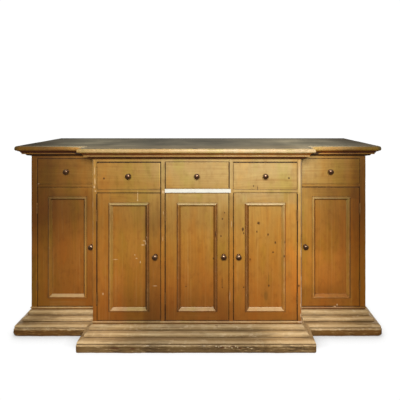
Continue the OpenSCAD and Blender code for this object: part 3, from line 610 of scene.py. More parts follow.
        # and some patches, mostly low on the doors, are painted lighter and paler: painted light where the lamp falls
        # more brightly
        light = n.math("MULTIPLY", n.band(px, 0.40, 0.52, 0.5625, 0.566, 0.70), n.band(pz, 0.12, 0.20, 0.44, 0.60))
        light = n.math("ADD", light, n.math("MULTIPLY", n.band(px, -0.558, -0.535, -0.44, -0.36, 0.60), n.step(pz, 0.52, 0.36)))
        light = n.math("ADD", light, n.math("MULTIPLY", n.band(px, 0.566, 0.62, 0.80, 0.87, 0.85), n.band(pz, 0.20, 0.27, 0.38, 0.50)))
        light = n.math("MULTIPLY", light, n.step(py, 0.00, -0.09))
        light = n.math("ADD", light, n.math("MULTIPLY", n.band(px, 0.455, 0.475, 0.548, 0.560, 0.45), n.math("MULTIPLY", n.band(pz, 0.22, 0.34, 0.72, 0.79), n.step(py, 0.00, -0.09))))
        col = n.mix(light, col, (1.30, 1.30, 1.45), "MULTIPLY")
        sallow = n.math("MULTIPLY", n.band(px, 0.19, 0.26, 0.50, 0.60), n.band(pz, 0.74, 0.755, 0.80, 0.812))
        sallow = n.math("MAXIMUM", sallow, n.math("MULTIPLY", n.band(px, 0.538, 0.544, 0.578, 0.590), n.step(pz, 0.98, 0.97)))
        col = n.mix(sallow, col, (1.0, 1.06, 1.42), "MULTIPLY")
        col = n.mix(n.step(px, 0.85, 0.91), col, (0.98, 0.98, 0.55), "MULTIPLY")
        # the painted shade darkens the colour here
        col = n.mix(n.math("MINIMUM", shade, 0.78), col, (0.13, 0.085, 0.045), "MULTIPLY")
        amber = n.math("MULTIPLY", n.step(n.math("ABSOLUTE", px), 0.56, 0.66), n.step(pz, 0.985, 1.000))
        col = n.mix(n.math("MULTIPLY", amber, n.step(py, -0.23, -0.21)), col, (1.0, 0.88, 0.60), "MULTIPLY")
        col = n.mix(n.math("MULTIPLY", n.step(px, -0.56, -0.66), n.step(pz, 1.026, 1.030)), col, (0.90, 0.80, 0.62), "MULTIPLY")
        # painted light on the central nosing and cornice: darker left of the middle, paler and less saturated right of
        # it, where the lamp's highlight falls
        centre_nosing_light = n.math("MULTIPLY", n.step(pz, 1.006, 1.010), n.step(py, -0.225, -0.235))
        col = n.mix(n.math("MULTIPLY", centre_nosing_light, n.step(px, 0.00, -0.28)), col, (0.80, 0.78, 0.74), "MULTIPLY")
        col = n.mix(n.math("MULTIPLY", centre_nosing_light, n.step(px, -0.04, 0.24)), col, (1.08, 1.18, 1.45), "MULTIPLY")
        # the very ends of the nosing are made nearly black: a painted shade on their unlit end faces, together with
        # dark paint there
        tip = n.math("MULTIPLY", n.step(n.math("ABSOLUTE", px), 0.990, 1.014), n.step(pz, 1.026, 1.030))
        col = n.mix(n.math("MULTIPLY", tip, 0.75), col, (0.036, 0.026, 0.010))
        olive = n.math("MULTIPLY", n.step(n.math("ABSOLUTE", px), 0.84, 0.95, 0, 0.8), n.step(py, 0.0, -0.09, 0.2, 1.0))
        col = n.mix(olive, col, (0.95, 0.98, 0.42), "MULTIPLY")
        under = n.math("MULTIPLY", n.band(pz, 0.984, 0.988, 1.0262, 1.0278), n.step(py, -0.118, -0.128))
        col = n.mix(under, col, (1.0, 0.84, 0.60), "MULTIPLY")
        bead = n.step(pz, 0.1225, 0.1202)
        col = n.mix(n.math("MULTIPLY", bead, n.step(px, 0.50, 0.64)), col, (0.66, 0.54, 0.50), "MULTIPLY")
        col = n.mix(n.math("MULTIPLY", bead, n.step(n.math("ABSOLUTE", px), 0.82, 0.95)), col, (0.80, 0.74, 1.15), "MULTIPLY")
        low_end = n.math("MULTIPLY", n.step(pz, 0.46, 0.36), n.step(pz, 0.12, 0.125))
        col = n.mix(n.math("MULTIPLY", low_end, n.step(px, -0.72, -0.90)), col, (0.84, 0.90, 0.88), "MULTIPLY")
        col = n.mix(n.math("MULTIPLY", low_end, n.step(px, -0.925, -0.945)), col, (0.84, 0.92, 0.84), "MULTIPLY")
        # painted shadow: the inner corners of the cornice, behind the returns of the middle section, are painted nearly
        # black
        from_nook = n.math("ADD", n.math("MULTIPLY_ADD", pz, n.step(px, -0.1, 0.1, -2.33, -1.95), n.math("ABSOLUTE", px)), n.step(px, -0.1, 0.1, 1.6614, 1.2945))
        nook_painted_shadow = n.math("MULTIPLY", n.step(from_nook, 0.019, 0.010), n.step(py, -0.222, -0.205))
        nook_painted_shadow = n.math("MULTIPLY", nook_painted_shadow, n.math("MULTIPLY", n.step(pz, 1.020, 1.010), n.step(pz, 0.962, 0.968)))
        nook_painted_shadow = n.math("MULTIPLY", nook_painted_shadow, n.step(n.math("ABSOLUTE", px), 0.560, 0.568))
        col = n.mix(n.math("MULTIPLY", nook_painted_shadow, 0.92), col, (0.014, 0.006, 0.002))
    if foot:
        # the plinth is kicked and damp-stained: grey in the middle, broken along its foot
        centre = n.step(n.math("ABSOLUTE", px), 0.50, 0.22)
        rows = n.noise(n.vec("MULTIPLY", obj, (5, 30, 30)), 1.0, 4, 0.65)
        scars = n.noise(n.vec("MULTIPLY", obj, (24, 70, 150)), 1.0, 4, 0.7)
        scuffs = n.noise(n.vec("MULTIPLY", obj, (26, 60, 60)), 1.0, 3, 0.6)
        bands = n.noise(n.vec("MULTIPLY", obj, (2.2, 70, 190)), 1.0, 4, 0.7)
        bands2 = n.noise(n.vec("MULTIPLY", n.vec("ADD", obj, (4, 2, 1)), (1.4, 50, 120)), 1.0, 3, 0.65)
        col = n.mix(n.math("MULTIPLY", centre, 0.54), col, (0.115, 0.090, 0.050))
        col = n.mix(n.band(n.math("ABSOLUTE", px), 0.34, 0.50, 0.74, 0.84, 0.30), col, (0.62, 0.45, 0.25))
        col = n.mix(n.step(n.math("ABSOLUTE", px), 0.66, 1.0, 0, 0.42), col, (0.075, 0.046, 0.016))
        col = n.mix(n.math("MULTIPLY", n.step(rows, 0.48, 0.66), 0.45), col, (0.10, 0.062, 0.026))
        col = n.mix(n.math("MULTIPLY", n.step(bands, 0.52, 0.66), 0.45), col, (0.52, 0.42, 0.32), "MULTIPLY")
        col = n.mix(n.math("MULTIPLY", n.step(bands, 0.46, 0.32), 0.50), col, (0.62, 0.47, 0.27))
        col = n.mix(n.math("MULTIPLY", n.step(bands2, 0.54, 0.68), 0.30), col, (0.36, 0.23, 0.13))
        ragged = n.noise(n.vec("MULTIPLY", obj, (30, 30, 30)), 1.0, 4, 0.7)
        low_face = n.step(n.math("ADD", n.math("MULTIPLY_ADD", ragged, 0.012, pz), n.step(n.math("ABSOLUTE", px), 0.60, 0.66, 0, 0.0018)), 0.0415, 0.0365)
        col = n.mix(n.math("MULTIPLY", low_face, n.step(n.math("ABSOLUTE", px), 0.55, 0.70, 0.66, 0.86)), col,
                    n.mix(n.step(n.math("ABSOLUTE", px), 0.55, 0.70), (0.070, 0.040, 0.014), (0.150, 0.072, 0.013)))
        bad = n.math("MULTIPLY", n.step(pz, 0.052, 0.026), n.step(scars, 0.46, 0.56))
        bad = n.math("MULTIPLY", bad, n.math("MULTIPLY", n.step(n.noise(obj, 5.0, 2, 0.5), 0.38, 0.60), n.step(n.math("ABSOLUTE", px), 0.60, 0.70, 1.0, 0.45)))
        col = n.mix(n.math("MULTIPLY", bad, 0.8), col, (0.035, 0.018, 0.010))
        sore = mark_mask(n, obj, SORES, 5.0)
        col = n.mix(n.math("MULTIPLY", sore, 0.75), col, (0.085, 0.026, 0.010))
        bits = mark_mask(n, obj, FLAKES, 7.0)
        col = n.mix(n.math("MULTIPLY", bits, 0.70), col, (0.66, 0.56, 0.42))
        flakes = n.math("MULTIPLY", n.step(pz, 0.060, 0.030), n.step(scars, 0.42, 0.34))
        col = n.mix(n.math("MULTIPLY", flakes, 0.6), col, (0.52, 0.40, 0.25))
        col = n.mix(n.math("MULTIPLY", n.step(scuffs, 0.60, 0.70), n.math("MULTIPLY_ADD", low_face, -0.20, 0.35)), col, (0.55, 0.43, 0.28))
        col = n.mix(low_face, col, n.mix(n.step(n.math("ABSOLUTE", px), 0.55, 0.70), n.mix(1.0, col, (0.98, 0.90, 0.74), "MULTIPLY"),
                                         n.mix(1.0, col, (0.76, 0.62, 0.38), "MULTIPLY")))
        # the top face of the top course, in the corner under the bead, is darkened brown
        col = n.mix(n.step(pz, 0.1036, 0.1046, 0, 0.75), col, (0.165, 0.078, 0.016))

    # painted shade and grime in the corners: the colour is darkened where ambient occlusion finds other surfaces close
    ao = n.new("ShaderNodeAmbientOcclusion", samples=6)
    ao.inputs["Distance"].default_value = 0.0045 if foot else 0.012
    shut = n.step(ao.outputs["AO"], 0.92, 0.30)
    col = n.mix(n.math("MULTIPLY", shut, crevice_shade_and_grime), col, (0.060, 0.026, 0.008) if foot else (0.030, 0.013, 0.004))

    if front:
        pl = line_mask(n, obj, PALE_LINES)
        col = n.mix(n.math("MULTIPLY", pl, 0.42), col, (1.75, 1.70, 1.62), "MULTIPLY")
        # painted shade along the gaps, from the lines above
        gap_shade_mask = line_mask(n, obj, GAP_SHADE_LINES)
        col = n.mix(n.math("MULTIPLY", gap_shade_mask, 0.88), col, (0.024, 0.006, 0.001))
        lm = mark_mask(n, obj, LIGHT_MARKS, 0.0)
        dm = mark_mask(n, obj, DARK_MARKS, 3.0)
        col = n.mix(n.math("MULTIPLY", dm, 0.90), col, (0.036, 0.010, 0.002))
        col = n.mix(n.math("MULTIPLY", lm, 0.58), col, (0.68, 0.48, 0.28))
        r_line = n.math("MULTIPLY", gap_shade_mask, 0.3)

    r = n.math("MULTIPLY_ADD", fibre, 0.14, rough - 0.07)
    if front:
        r = n.math("ADD", r, r_line)
    if front:
        # worn grey-green paint, on the top only
        paint = n.attr("paint").outputs["Fac"]
        brush = n.noise(n.vec("MULTIPLY", obj, (1.2, 14, 14)), 2.0, 4, 0.6)
        patch = n.noise(obj, 5.0, 4, 0.6)
        pcol = n.ramp(n.math("MULTIPLY_ADD", patch, 0.55, n.math("MULTIPLY", brush, 0.45)),
                      [(0.32, (0.082, 0.074, 0.050)), (0.5, (0.168, 0.150, 0.104)), (0.68, (0.300, 0.262, 0.178))])
        rubbed = n.noise(n.vec("MULTIPLY", obj, (1.0, 30, 30)), 1.6, 4, 0.7)
        pcol = n.mix(n.math("MULTIPLY", n.step(rubbed, 0.52, 0.66), 0.35), pcol, (0.055, 0.046, 0.032))
        pcol = n.mix(n.math("MULTIPLY", n.step(py, -0.10, -0.20), n.step(rubbed, 0.52, 0.40, 0.2, 0.7)), pcol, (0.300, 0.225, 0.125))
        pcol = n.mix(n.step(py, 0.19, 0.285, 0, 0.55), pcol, (0.070, 0.060, 0.044))
        pcol = n.mix(n.band(px, 0.10, 0.38, 0.52, 0.68), pcol, (1.42, 1.40, 1.36), "MULTIPLY")
        pcol = n.mix(n.band(px, -0.84, -0.64, -0.44, -0.26), pcol, (1.22, 1.20, 1.16), "MULTIPLY")
        pcol = n.mix(n.band(px, -0.94, -0.78, -0.68, -0.50), pcol, (1.36, 1.38, 1.36), "MULTIPLY")
        pcol = n.mix(n.band(px, 0.44, 0.60, 0.74, 0.92), pcol, (1.55, 1.55, 1.52), "MULTIPLY")
        pcol = n.mix(n.math("MULTIPLY", n.step(px, -0.74, -0.98), n.step(py, 0.12, -0.06, 0.2, 1.0)), pcol, (0.52, 0.44, 0.34), "MULTIPLY")
        pcol = n.mix(n.step(px, 0.80, 1.00), pcol, (0.72, 0.66, 0.60), "MULTIPLY")
        scuff = n.step(n.noise(n.vec("MULTIPLY", obj, (3, 22, 22)), 2.4, 4, 0.65), 0.66, 0.74)
        rub = n.math("ADD", n.math("MULTIPLY", chip, 0.30), n.math("MULTIPLY", chip2, 0.16))
        cover = n.step(n.math("SUBTRACT", paint, rub), 0.22, 0.42)
        cover = n.math("MULTIPLY", cover, n.math("MULTIPLY_ADD", scuff, -0.35, 1.0))
        col = n.mix(cover, col, pcol)
        r = n.math("ADD", r, n.math("MULTIPLY", cover, 0.15))
    n.put(bsdf.inputs["Base Color"], col)
    r = n.math("ADD", r, n.math("MULTIPLY", shut, 0.25))
    n.put(bsdf.inputs["Roughness"], n.math("ADD", r, n.math("MULTIPLY_ADD", cloud, 0.16, -0.08), clamp=True))
    bsdf.inputs["Specular IOR Level"].default_value = spec
    bsdf.inputs["Coat Weight"].default_value = coat
    bsdf.inputs["Coat Roughness"].default_value = 0.32

    h = n.math("MULTIPLY_ADD", fibre, 0.45, n.math("MULTIPLY", streak, 0.35))
    h = n.math("ADD", h, n.math("MULTIPLY", n.noise(obj, 30, 3, 0.55), 0.8))
    if not front:
        h = n.math("SUBTRACT", h, n.math("MULTIPLY", wear, 0.8))
    if foot:
        h = n.math("SUBTRACT", h, n.math("MULTIPLY", bad, 3.0))
    b = n.new("ShaderNodeBump")
    b.inputs["Strength"].default_value = 0.30 if not foot else 0.45
    b.inputs["Distance"].default_value = 0.0007
    n.put(b.inputs["Height"], h)
    n.put(bsdf.inputs["Normal"], b.outputs["Normal"])
    return mat


def painted(name, colour, under):
    mat = bpy.data.materials.new(name)
    mat.use_nodes = True
    n = Nodes(mat.node_tree)
    bsdf = mat.node_tree.nodes["Principled BSDF"]
    obj = n.new("ShaderNodeTexCoord").outputs["Object"]
    m = n.vec("MINIMUM", n.attr("dlo").outputs["Vector"], n.attr("dhi").outputs["Vector"])
    ax, ay, az = n.split(m)
    small = n.math("MINIMUM", n.math("MINIMUM", ax, ay), az)
    big = n.math("MAXIMUM", n.math("MAXIMUM", ax, ay), az)
    mid = n.math("SUBTRACT", n.math("SUBTRACT", n.math("ADD", n.math("ADD", ax, ay), az), small), big)
    brush = n.noise(n.vec("MULTIPLY", obj, (4, 240, 240)), 1.0, 3, 0.6)
    soft = n.noise(obj, 22, 3, 0.6)
    chip = n.noise(obj, 85, 3, 0.65)
    col = n.mix(n.step(soft, 0.35, 0.75), colour, tuple(c * 0.90 for c in colour))
    col = n.mix(n.math("MULTIPLY", n.step(brush, 0.5, 0.8), 0.35), col, tuple(c * 0.93 for c in colour))
    bare = n.math("MULTIPLY", n.step(mid, 0.003, 0.0005), n.step(chip, 0.56, 0.66))
    col = n.mix(bare, col, under)
    n.put(bsdf.inputs["Base Color"], col)
    n.put(bsdf.inputs["Roughness"], n.math("MULTIPLY_ADD", soft, 0.2, 0.42))
    b = n.new("ShaderNodeBump")
    b.inputs["Strength"].default_value = 0.25
    b.inputs["Distance"].default_value = 0.0006
    n.put(b.inputs["Height"], n.math("SUBTRACT", brush, bare))
    n.put(bsdf.inputs["Normal"], b.outputs["Normal"])
    return mat


def metal(name, base, worn_base, rough, metallic=1.0, top=None):
    mat = bpy.data.materials.new(name)
    mat.use_nodes = True
    n = Nodes(mat.node_tree)
    bsdf = mat.node_tree.nodes["Principled BSDF"]
    obj = n.new("ShaderNodeTexCoord").outputs["Object"]
    crest = n.attr("crest").outputs["Fac"]
    cloud = n.noise(obj, 90, 4, 0.6)
    fine = n.noise(obj, 700, 3, 0.6)
    rub = n.step(n.math("ADD", crest, n.math("MULTIPLY_ADD", cloud, 0.8, -0.4)), 0.35, 1.1)
    col = n.mix(n.step(cloud, 0.35, 0.7), base, tuple(c * 0.55 for c in base))
    col = n.mix(n.math("MULTIPLY", rub, 0.8), col, worn_base)
    # painted highlight: the upward-facing part of each knob's dome is painted paler, as the lamp above would light it
    if top:
        nz = n.split(n.new("ShaderNodeTexCoord").outputs["Normal"])[2]
        col = n.mix(n.math("MULTIPLY", n.step(nz, 0.0, 0.75, 0, 0.34), n.step(crest, 0.15, 0.45)), col, top)
    n.put(bsdf.inputs["Base Color"], col)
    bsdf.inputs["Metallic"].default_value = metallic
    n.put(bsdf.inputs["Roughness"], n.math("MULTIPLY_ADD", fine, 0.22, rough - 0.11))
    b = n.new("ShaderNodeBump")
    b.inputs["Strength"].default_value = 0.18
    b.inputs["Distance"].default_value = 0.0003
    n.put(b.inputs["Height"], n.math("ADD", fine, cloud))
    n.put(bsdf.inputs["Normal"], b.outputs["Normal"])
    return mat


# the palest stops are also a painted sheen: the wax's shine under the lamp high in the middle is laid into the colour
WAXED = [(0.0, srgb(147, 89, 26)), (0.24, srgb(160, 101, 33)), (0.48, srgb(167, 116, 42)), (0.78, srgb(169, 131, 63)),
         (1.0, srgb(180, 153, 98))]
waxed = wood("waxed_pine", WAXED, grain=0.85, rough=0.46, spec=0.33, coat=0.08, front=True, spread=0.30, dark_arris=0.42)
PLINTH_C = [(0.0, srgb(128, 94, 50)), (0.5, srgb(180, 147, 98)), (1.0, srgb(206, 175, 126))]
plinth_wood = wood("worn_plinth_pine", PLINTH_C, grain=0.7, rough=0.62, spec=0.25, coat=0.0, foot=True, crevice_shade_and_grime=0.80, worn=0.6,
                   worn_col=srgb(212, 188, 146), tone0=0.6, spread=0.5)
RAW = [(0.0, srgb(150, 112, 66)), (0.5, srgb(180, 146, 98)), (1.0, srgb(198, 168, 122))]
raw = wood("raw_pine", RAW, grain=0.9, rough=0.7, spec=0.2, coat=0.0, crevice_shade_and_grime=0.4, worn=0.3, spread=0.6)
white_paint = painted("off_white_paint", srgb(211, 210, 200), srgb(150, 112, 66))
# the last colour is the painted highlight on the upper part of each knob's dome
bronze = metal("knob_bronze", srgb(78, 44, 22), srgb(150, 120, 88), 0.29, 0.65, srgb(180, 154, 124))
iron = metal("dark_metal", srgb(132, 92, 44), srgb(160, 118, 66), 0.55, 0.35)

# ---------------------------------------------------------------- the top and its mouldings
def run(builder, prof, seed, step=0.03, wear=0.0004, crest=None, paint=None, nick=0.0, nick_at=None, eps=0.00015, tint=0.0, more=None,
        ends=None, end_paint=None, end_prof=None, end_tint=None):
    """A moulding round the whole front. ends moves the heights of its profile in the end bays, or end_prof replaces it."""
    for i in range(7):
        outer = i in (0, 1, 5, 6)
        shape = [(p, ends(z)) for p, z in prof] if ends and outer else end_prof if end_prof and outer else prof
        (ax, ay), (bx, by) = PATH[i], PATH[i + 1]
        length = math.hypot(bx - ax, by - ay)
        d = ((bx - ax) / length, (by - ay) / length, 0)
        out = (d[1], -d[0], 0)
        builder.strip([(p * MM, z * MM) for p, z in shape], (ax, ay, 0), d, out, (0, 0, 1), eps, length - eps,
                      MITRE[i], MITRE[i + 1], step, seed + i * 13, wear, crest, end_paint if end_paint and outer else paint, nick, nick_at,
                      end_tint if end_tint is not None and outer else tint,
                      {1: (1, 0.11, more), 5: (0, 0.05, more)}.get(i) if more else None)


b = Builder()
for i, (lo, hi) in enumerate(solids("top_boards")):
    b.board(lo, hi, r=0.0008, step=0.09, grain=0, wear=0.2, seed=40 + i, paint=1.0)
b.build("top_planks", waxed, "top_boards")

prof = ([(20.2, 1028), (36, 1028), (53, 1028)] + arc(51, 1037, 7, 9, -72, 0, 7)
        + arc(50, 1038, 8, 12, 12, 80, 9) + [(50, 1050), (44, 1050), (32, 1050), (20.2, 1050)])
crest = [0, 0, 0.2] + [0.35, 0.4, 0.5, 0.6, 0.7, 0.8, 0.8, 0.8] + [0.9, 1, 1, 1, 1, 1, 1, 0.9, 0.8, 0.7] + [0.5, 0.2, 0, 0]
pt = [0] * 11 + [0, 0, 0, 0, 0, 0, 0.05, 0.3, 0.55, 0.75] + [0.85, 1, 1, 1]
b = Builder()
# painted highlight and shade on the nosing: paler round its front curve, fading towards the top and darker at its
# underside, a little differently on the end bays
nosing_painted_highlight = np.array([0, 0, 0] + [-0.3, -0.1, 0.3, 0.7, 1.1, 1.4, 1.6, 1.7] + [1.7, 1.6, 1.5, 1.3, 1.1, 0.9, 0.7, 0.5, 0.3, 0.2] + [0, 0, 0, 0])
run(b, prof, 60, 0.025, 0.0007, crest, pt, nick=0.0012, more=[0] * 8 + [0.3, 0.5, 0.6] + [0.6] + [0.7] * 9 + [0.2, 0, 0, 0], tint=nosing_painted_highlight,
    end_tint=np.array([0, 0, 0] + [0.2, 0.5, 0.9, 1.2, 1.5, 1.7, 1.7, 1.7] + [1.6, 1.4, 1.2, 0.9, 0.7, 0.5, 0.3, 0.2, 0.0, 0.0] + [0, 0, 0, 0]),
    ends=lambda z: 1050 - (1050 - z) * 1.16, end_paint=[0] * 11 + [0, 0, 0, 0.1, 0.3, 0.55, 0.7, 0.85, 0.9, 1] + [1, 1, 1, 1])
b.build("nosing", waxed, "top_nosing")

prof = ([(0.5, 1006), (18, 1006), (33, 1006), (34, 1007), (34.2, 1010), (34, 1012.6), (33.4, 1013.2), (37, 1013.8)]
        + arc(51, 1014, 14, 11, 178, 105, 9) + [(49, 1027.8), (0.5, 1027.8)])
crest = [0, 0, 0.3, 0.5, 0.5, 0.5, 0.2, 0] + [0] * 10 + [0, 0]
b = Builder()
# painted light and shade on the cornice cove: the fillet face painted pale, its underside and the cove painted dark,
# nearly black at the bottom
run(b, prof, 90, 0.03, 0.0005, crest, tint=np.array([-2.0, -1.6, 0.2, 1.2, 1.5, 1.2, -0.4, -2.2] + [-2.1, -1.8, -1.5, -1.3, -1.1, -1.0, -0.9, -0.9, -0.9, -0.9] + [-0.9, -0.9]), ends=lambda z: z - 3.6)
b.build("cornice_cove", waxed, "cornice_moulding")

prof = ([(0.5, 988.6), (3.6, 988.6), (4.2, 989.0), (4.8, 991)] + arc(5, 1002, 15, 11, -80, 0, 9)
        + [(20, 1005.8), (0.5, 1005.8)])
b = Builder()
# painted shade: the bed moulding is painted nearly black all over, standing for the shadow under the cornice
run(b, prof, 120, 0.03, 0.0004, [0, 0.1, 0.1, 0] + [0.05] * 10 + [0, 0],
    tint=np.array([-2.2] * 4 + [-2.4, -2.6, -2.7, -2.7, -2.6, -2.5, -2.4, -2.3, -2.2, -2.2] + [-2.2, -2.2]), ends=lambda z: 988.6 + (z - 988.6) * 0.785)
b.build("cornice_bed", waxed, "bed_moulding")

# ---------------------------------------------------------------- carcass boards
def boards(node, name, mat, r=0.0012, step=0.05, grain=None, wear=0.35, seed=1, wave=0.0, trim=0.0, edge=0.5, free="xXyYzZ"):
    bb = Builder()
    for i, (lo, hi) in enumerate(solids(node)):
        lo, hi = lo + trim, hi - trim
        bb.board(lo, hi, r, step, grain, wear, seed + 17 * i, wave=wave, edge=edge, free=free)
    return bb.build(name, mat, node)


boards("front_stiles", "stiles", waxed, r=0.0014, step=0.03, grain=2, wear=0.6, seed=200, edge=0.3, free="xXyY")
boards("front_rails", "rails", waxed, r=0.0010, step=0.03, grain=0, wear=0.5, seed=300, edge=0.2, free="yYzZ")
boards("end_panels", "ends", waxed, r=0.0010, step=0.09, grain=2, seed=400)
boards("partitions", "partition_boards", waxed, r=0.0010, step=0.09, grain=2, seed=500)
boards("floor_boards", "bottom_boards", raw, r=0.0008, step=0.12, grain=0, seed=600)
boards("shelves", "shelf_boards", raw, r=0.0014, step=0.09, grain=0, seed=700)
boards("shelf_cleats", "cleats", raw, r=0.0010, step=0.12, grain=1, seed=760)
boards("back_boards", "back_planks", raw, r=0.0016, step=0.09, grain=2, seed=800)
boards("drawer_runners", "runners", raw, r=0.0008, step=0.12, grain=1, seed=900)
boards("plinth_bearers", "bearers", raw, r=0.0012, step=0.12, seed=1000)
boards("door_catches", "catches", iron, r=0.0012, step=0.02, seed=1100)

lo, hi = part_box("centre_rail")
b = Builder()
b.board((-0.172, lo.y + 0.0007, lo.z), (0.172, hi.y, hi.z), r=0.0010, step=0.04, grain=0, seed=31)
b.board((lo.x, lo.y, lo.z + 0.0001), (hi.x, YC - 0.0001, hi.z - 0.0001), r=0.0003, step=0.02, grain=0, seed=32)
b.build("white_rail", white_paint, "centre_rail")

# ---------------------------------------------------------------- plinth
def knock(builder, corners):
    """Rounds the outer corners, most of all at the floor, as kicks and mops do."""
    for co in builder.co:
        for cx, cy, sx, r_top, r_foot in corners:
            ux, uy = (cx - co[:, 0]) * sx, co[:, 1] - cy
            low = np.clip(1 - co[:, 2] / 0.012, 0, 1)
            r = r_top + (r_foot - r_top) * low ** 1.6
            near = (ux < r) & (uy < r) & (ux > -0.02) & (uy > -0.02)
            vx, vy = r - ux, r - uy
            d = np.maximum(np.hypot(vx, vy), 1e-9)
            k = np.where(near & (d > r), r / d, 1.0)
            co[:, 0] = np.where(near, cx - sx * (r - vx * k), co[:, 0])
            co[:, 1] = np.where(near, cy + r - vy * k, co[:, 1])


CORNERS = [(-X7 - 0.062, YS - 0.062, -1, 0.008, 0.020), (X7 + 0.062, YS - 0.062, 1, 0.009, 0.024),
           (-X4 - 0.062, YC - 0.062, -1, 0.006, 0.010), (X4 + 0.062, YC - 0.062, 1, 0.008, 0.012)]
prof = ([(40.2, 0.0), (57, 0.0), (61.4, 0.0)] + arc(61.2, 1.0, 0.8, 0.9, -60, 0, 3) + [(62, 6), (62, 12), (62, 18), (62, 24), (62, 30)]
        + arc(57.6, 34.5, 4.4, 4.4, 0, 84, 6) + [(55, 39.1), (40.2, 39.1)])
crest = [0, 0.2, 0.4] + [0.9] * 4 + [0.3, 0.2, 0.15, 0.2, 0.4] + [1] * 7 + [0.6, 0]
b = Builder()
worn_prof = ([(40.2, 0.0), (58, 0.0), (62.6, 0.0)] + arc(63.2, 1.4, 0.9, 1.2, -60, 0, 3) + [(65.2, 6), (65.6, 11), (65.6, 15), (65.0, 20), (63.6, 25)]
             + arc(53.6, 29.6, 9.6, 9.4, 4, 84, 6) + [(50, 39.1), (40.2, 39.1)])
run(b, prof, 1500, 0.010, 0.0016, crest, end_prof=worn_prof, nick=0.0040, nick_at=[0, 0.2, 0.3] + [0.6] * 4 + [0.3, 0.1, 0.05, 0.1, 0.4] + [0.7] * 7 + [0.4, 0])
knock(b, CORNERS)
b.build("plinth_base_boards", plinth_wood, "plinth_base")

b = Builder()
STEP_Z = [39, 56.03, 79.0, 105]
for s, nose in enumerate((59, 32, 13)):
    z0, z1 = STEP_Z[s] + 0.1, STEP_Z[s + 1] - 0.1
    r = 13 if s == 1 else 12
    back = 2.6 if s == 0 else 1.6
    prof = ([(-20, z0), (nose - 8, z0), (nose - 1.6 - back, z0), (nose - back, z0 + 1.2), (nose - 0.6, z0 + 3.4)]
            + arc(nose - r, z1 - r - 1.0, r, r, 10, 84, 10) + [(nose - r - 1.5, z1), (-8, z1), (-20, z1)])
    crest = [0, 0, 0.3, 0.5, 0.7] + [0.8, 0.9, 1, 1, 1, 1, 0.9, 0.8, 0.7, 0.6, 0.5] + [0.4, 0, 0]
    # painted light and shade on each course: the rounded nose painted paler, its foot and the tread behind it painted
    # darker
    tint = [-0.9, -0.8, -0.6, -0.4, -0.2] + [0.1, 0.3, 0.5, 0.7, 0.7, 0.5, 0.3, 0.1, 0, -0.1, -0.2] + [-0.3, -0.9, -0.9]
    run(b, prof, 1600 + 100 * s, 0.016, 0.0012 if s == 0 else 0.0008, crest, nick=0.0016 if s == 0 else 0.0008, tint=np.array(tint))
knock(b, [(cx - 0.003 * sx, cy + 0.003, sx, a * 0.8, a * 0.8) for cx, cy, sx, a, _ in CORNERS])
b.build("plinth_courses", plinth_wood, "plinth_steps")

prof = ([(0.3, 111.5), (2.4, 111.5)] + arc(1, 115.2, 3.6, 3.2, -60, 78, 7) + [(0.3, 119.2)])
b = Builder()
# painted highlight: the bead is painted pale all along, for its upper face turned to the lamp
run(b, prof, 1900, 0.03, 0.0004, [0, 0.3] + [0.8] * 8 + [0.2], tint=1.9)
b.build("foot_bead", waxed, "base_bead")

# ---------------------------------------------------------------- hinges on the carcass keep their CAD shape
for name in ["hinge_fixed_leaves"] + [f"door_{i}_hinges" for i in range(1, 6)]:
    o = frame["nodes"][name]
    o.data.materials.clear()
    o.data.materials.append(iron)

# ---------------------------------------------------------------- drawers and doors
KNOB = ([(0.2, 0.0), (10.4, 0.0), (11.0, 0.6), (11.1, 1.6), (10.6, 2.5), (9.2, 3.3), (7.2, 3.9), (5.8, 4.7), (5.1, 6.2),
         (4.8, 8.0), (5.0, 9.8), (5.8, 11.2)]
        + arc(0, 19.4, 15, 8.6, -60, 0, 7) + arc(0, 19.4, 15, 8.6, 10, 86, 10) + [(0.3, 28.0)])
KNOB_CREST = [0, 0.0, 0.1, 0.1, 0.0, 0.0, 0, 0, 0, 0, 0, 0] + [0.05, 0.1, 0.2, 0.3, 0.5, 0.6, 0.7, 0.7] + [0.7, 0.7, 0.7, 0.6, 0.6, 0.5, 0.5, 0.5, 0.5, 0.5, 0.5] + [0.5]


def knob(name, node, x, y, z):
    bb = Builder()
    bb.turned([(r * MM, h * MM) for r, h in KNOB], (x, y, z), seg=56, crest=KNOB_CREST)
    # shank, washer and nut behind the wood
    bb.turned([(0.003, -0.026), (0.003, 0.0)], (x, y, z), seg=20)
    bb.turned([(0.0075, -0.0212), (0.0078, -0.0208), (0.0078, -0.0203), (0.0075, -0.0200)], (x, y, z), seg=28)
    bb.turned([(0.0052, -0.0252), (0.0058, -0.0246), (0.0058, -0.0216), (0.0054, -0.0212)], (x, y, z), seg=6)
    bb.build(name, bronze, node, sharp=50, weighted=False)


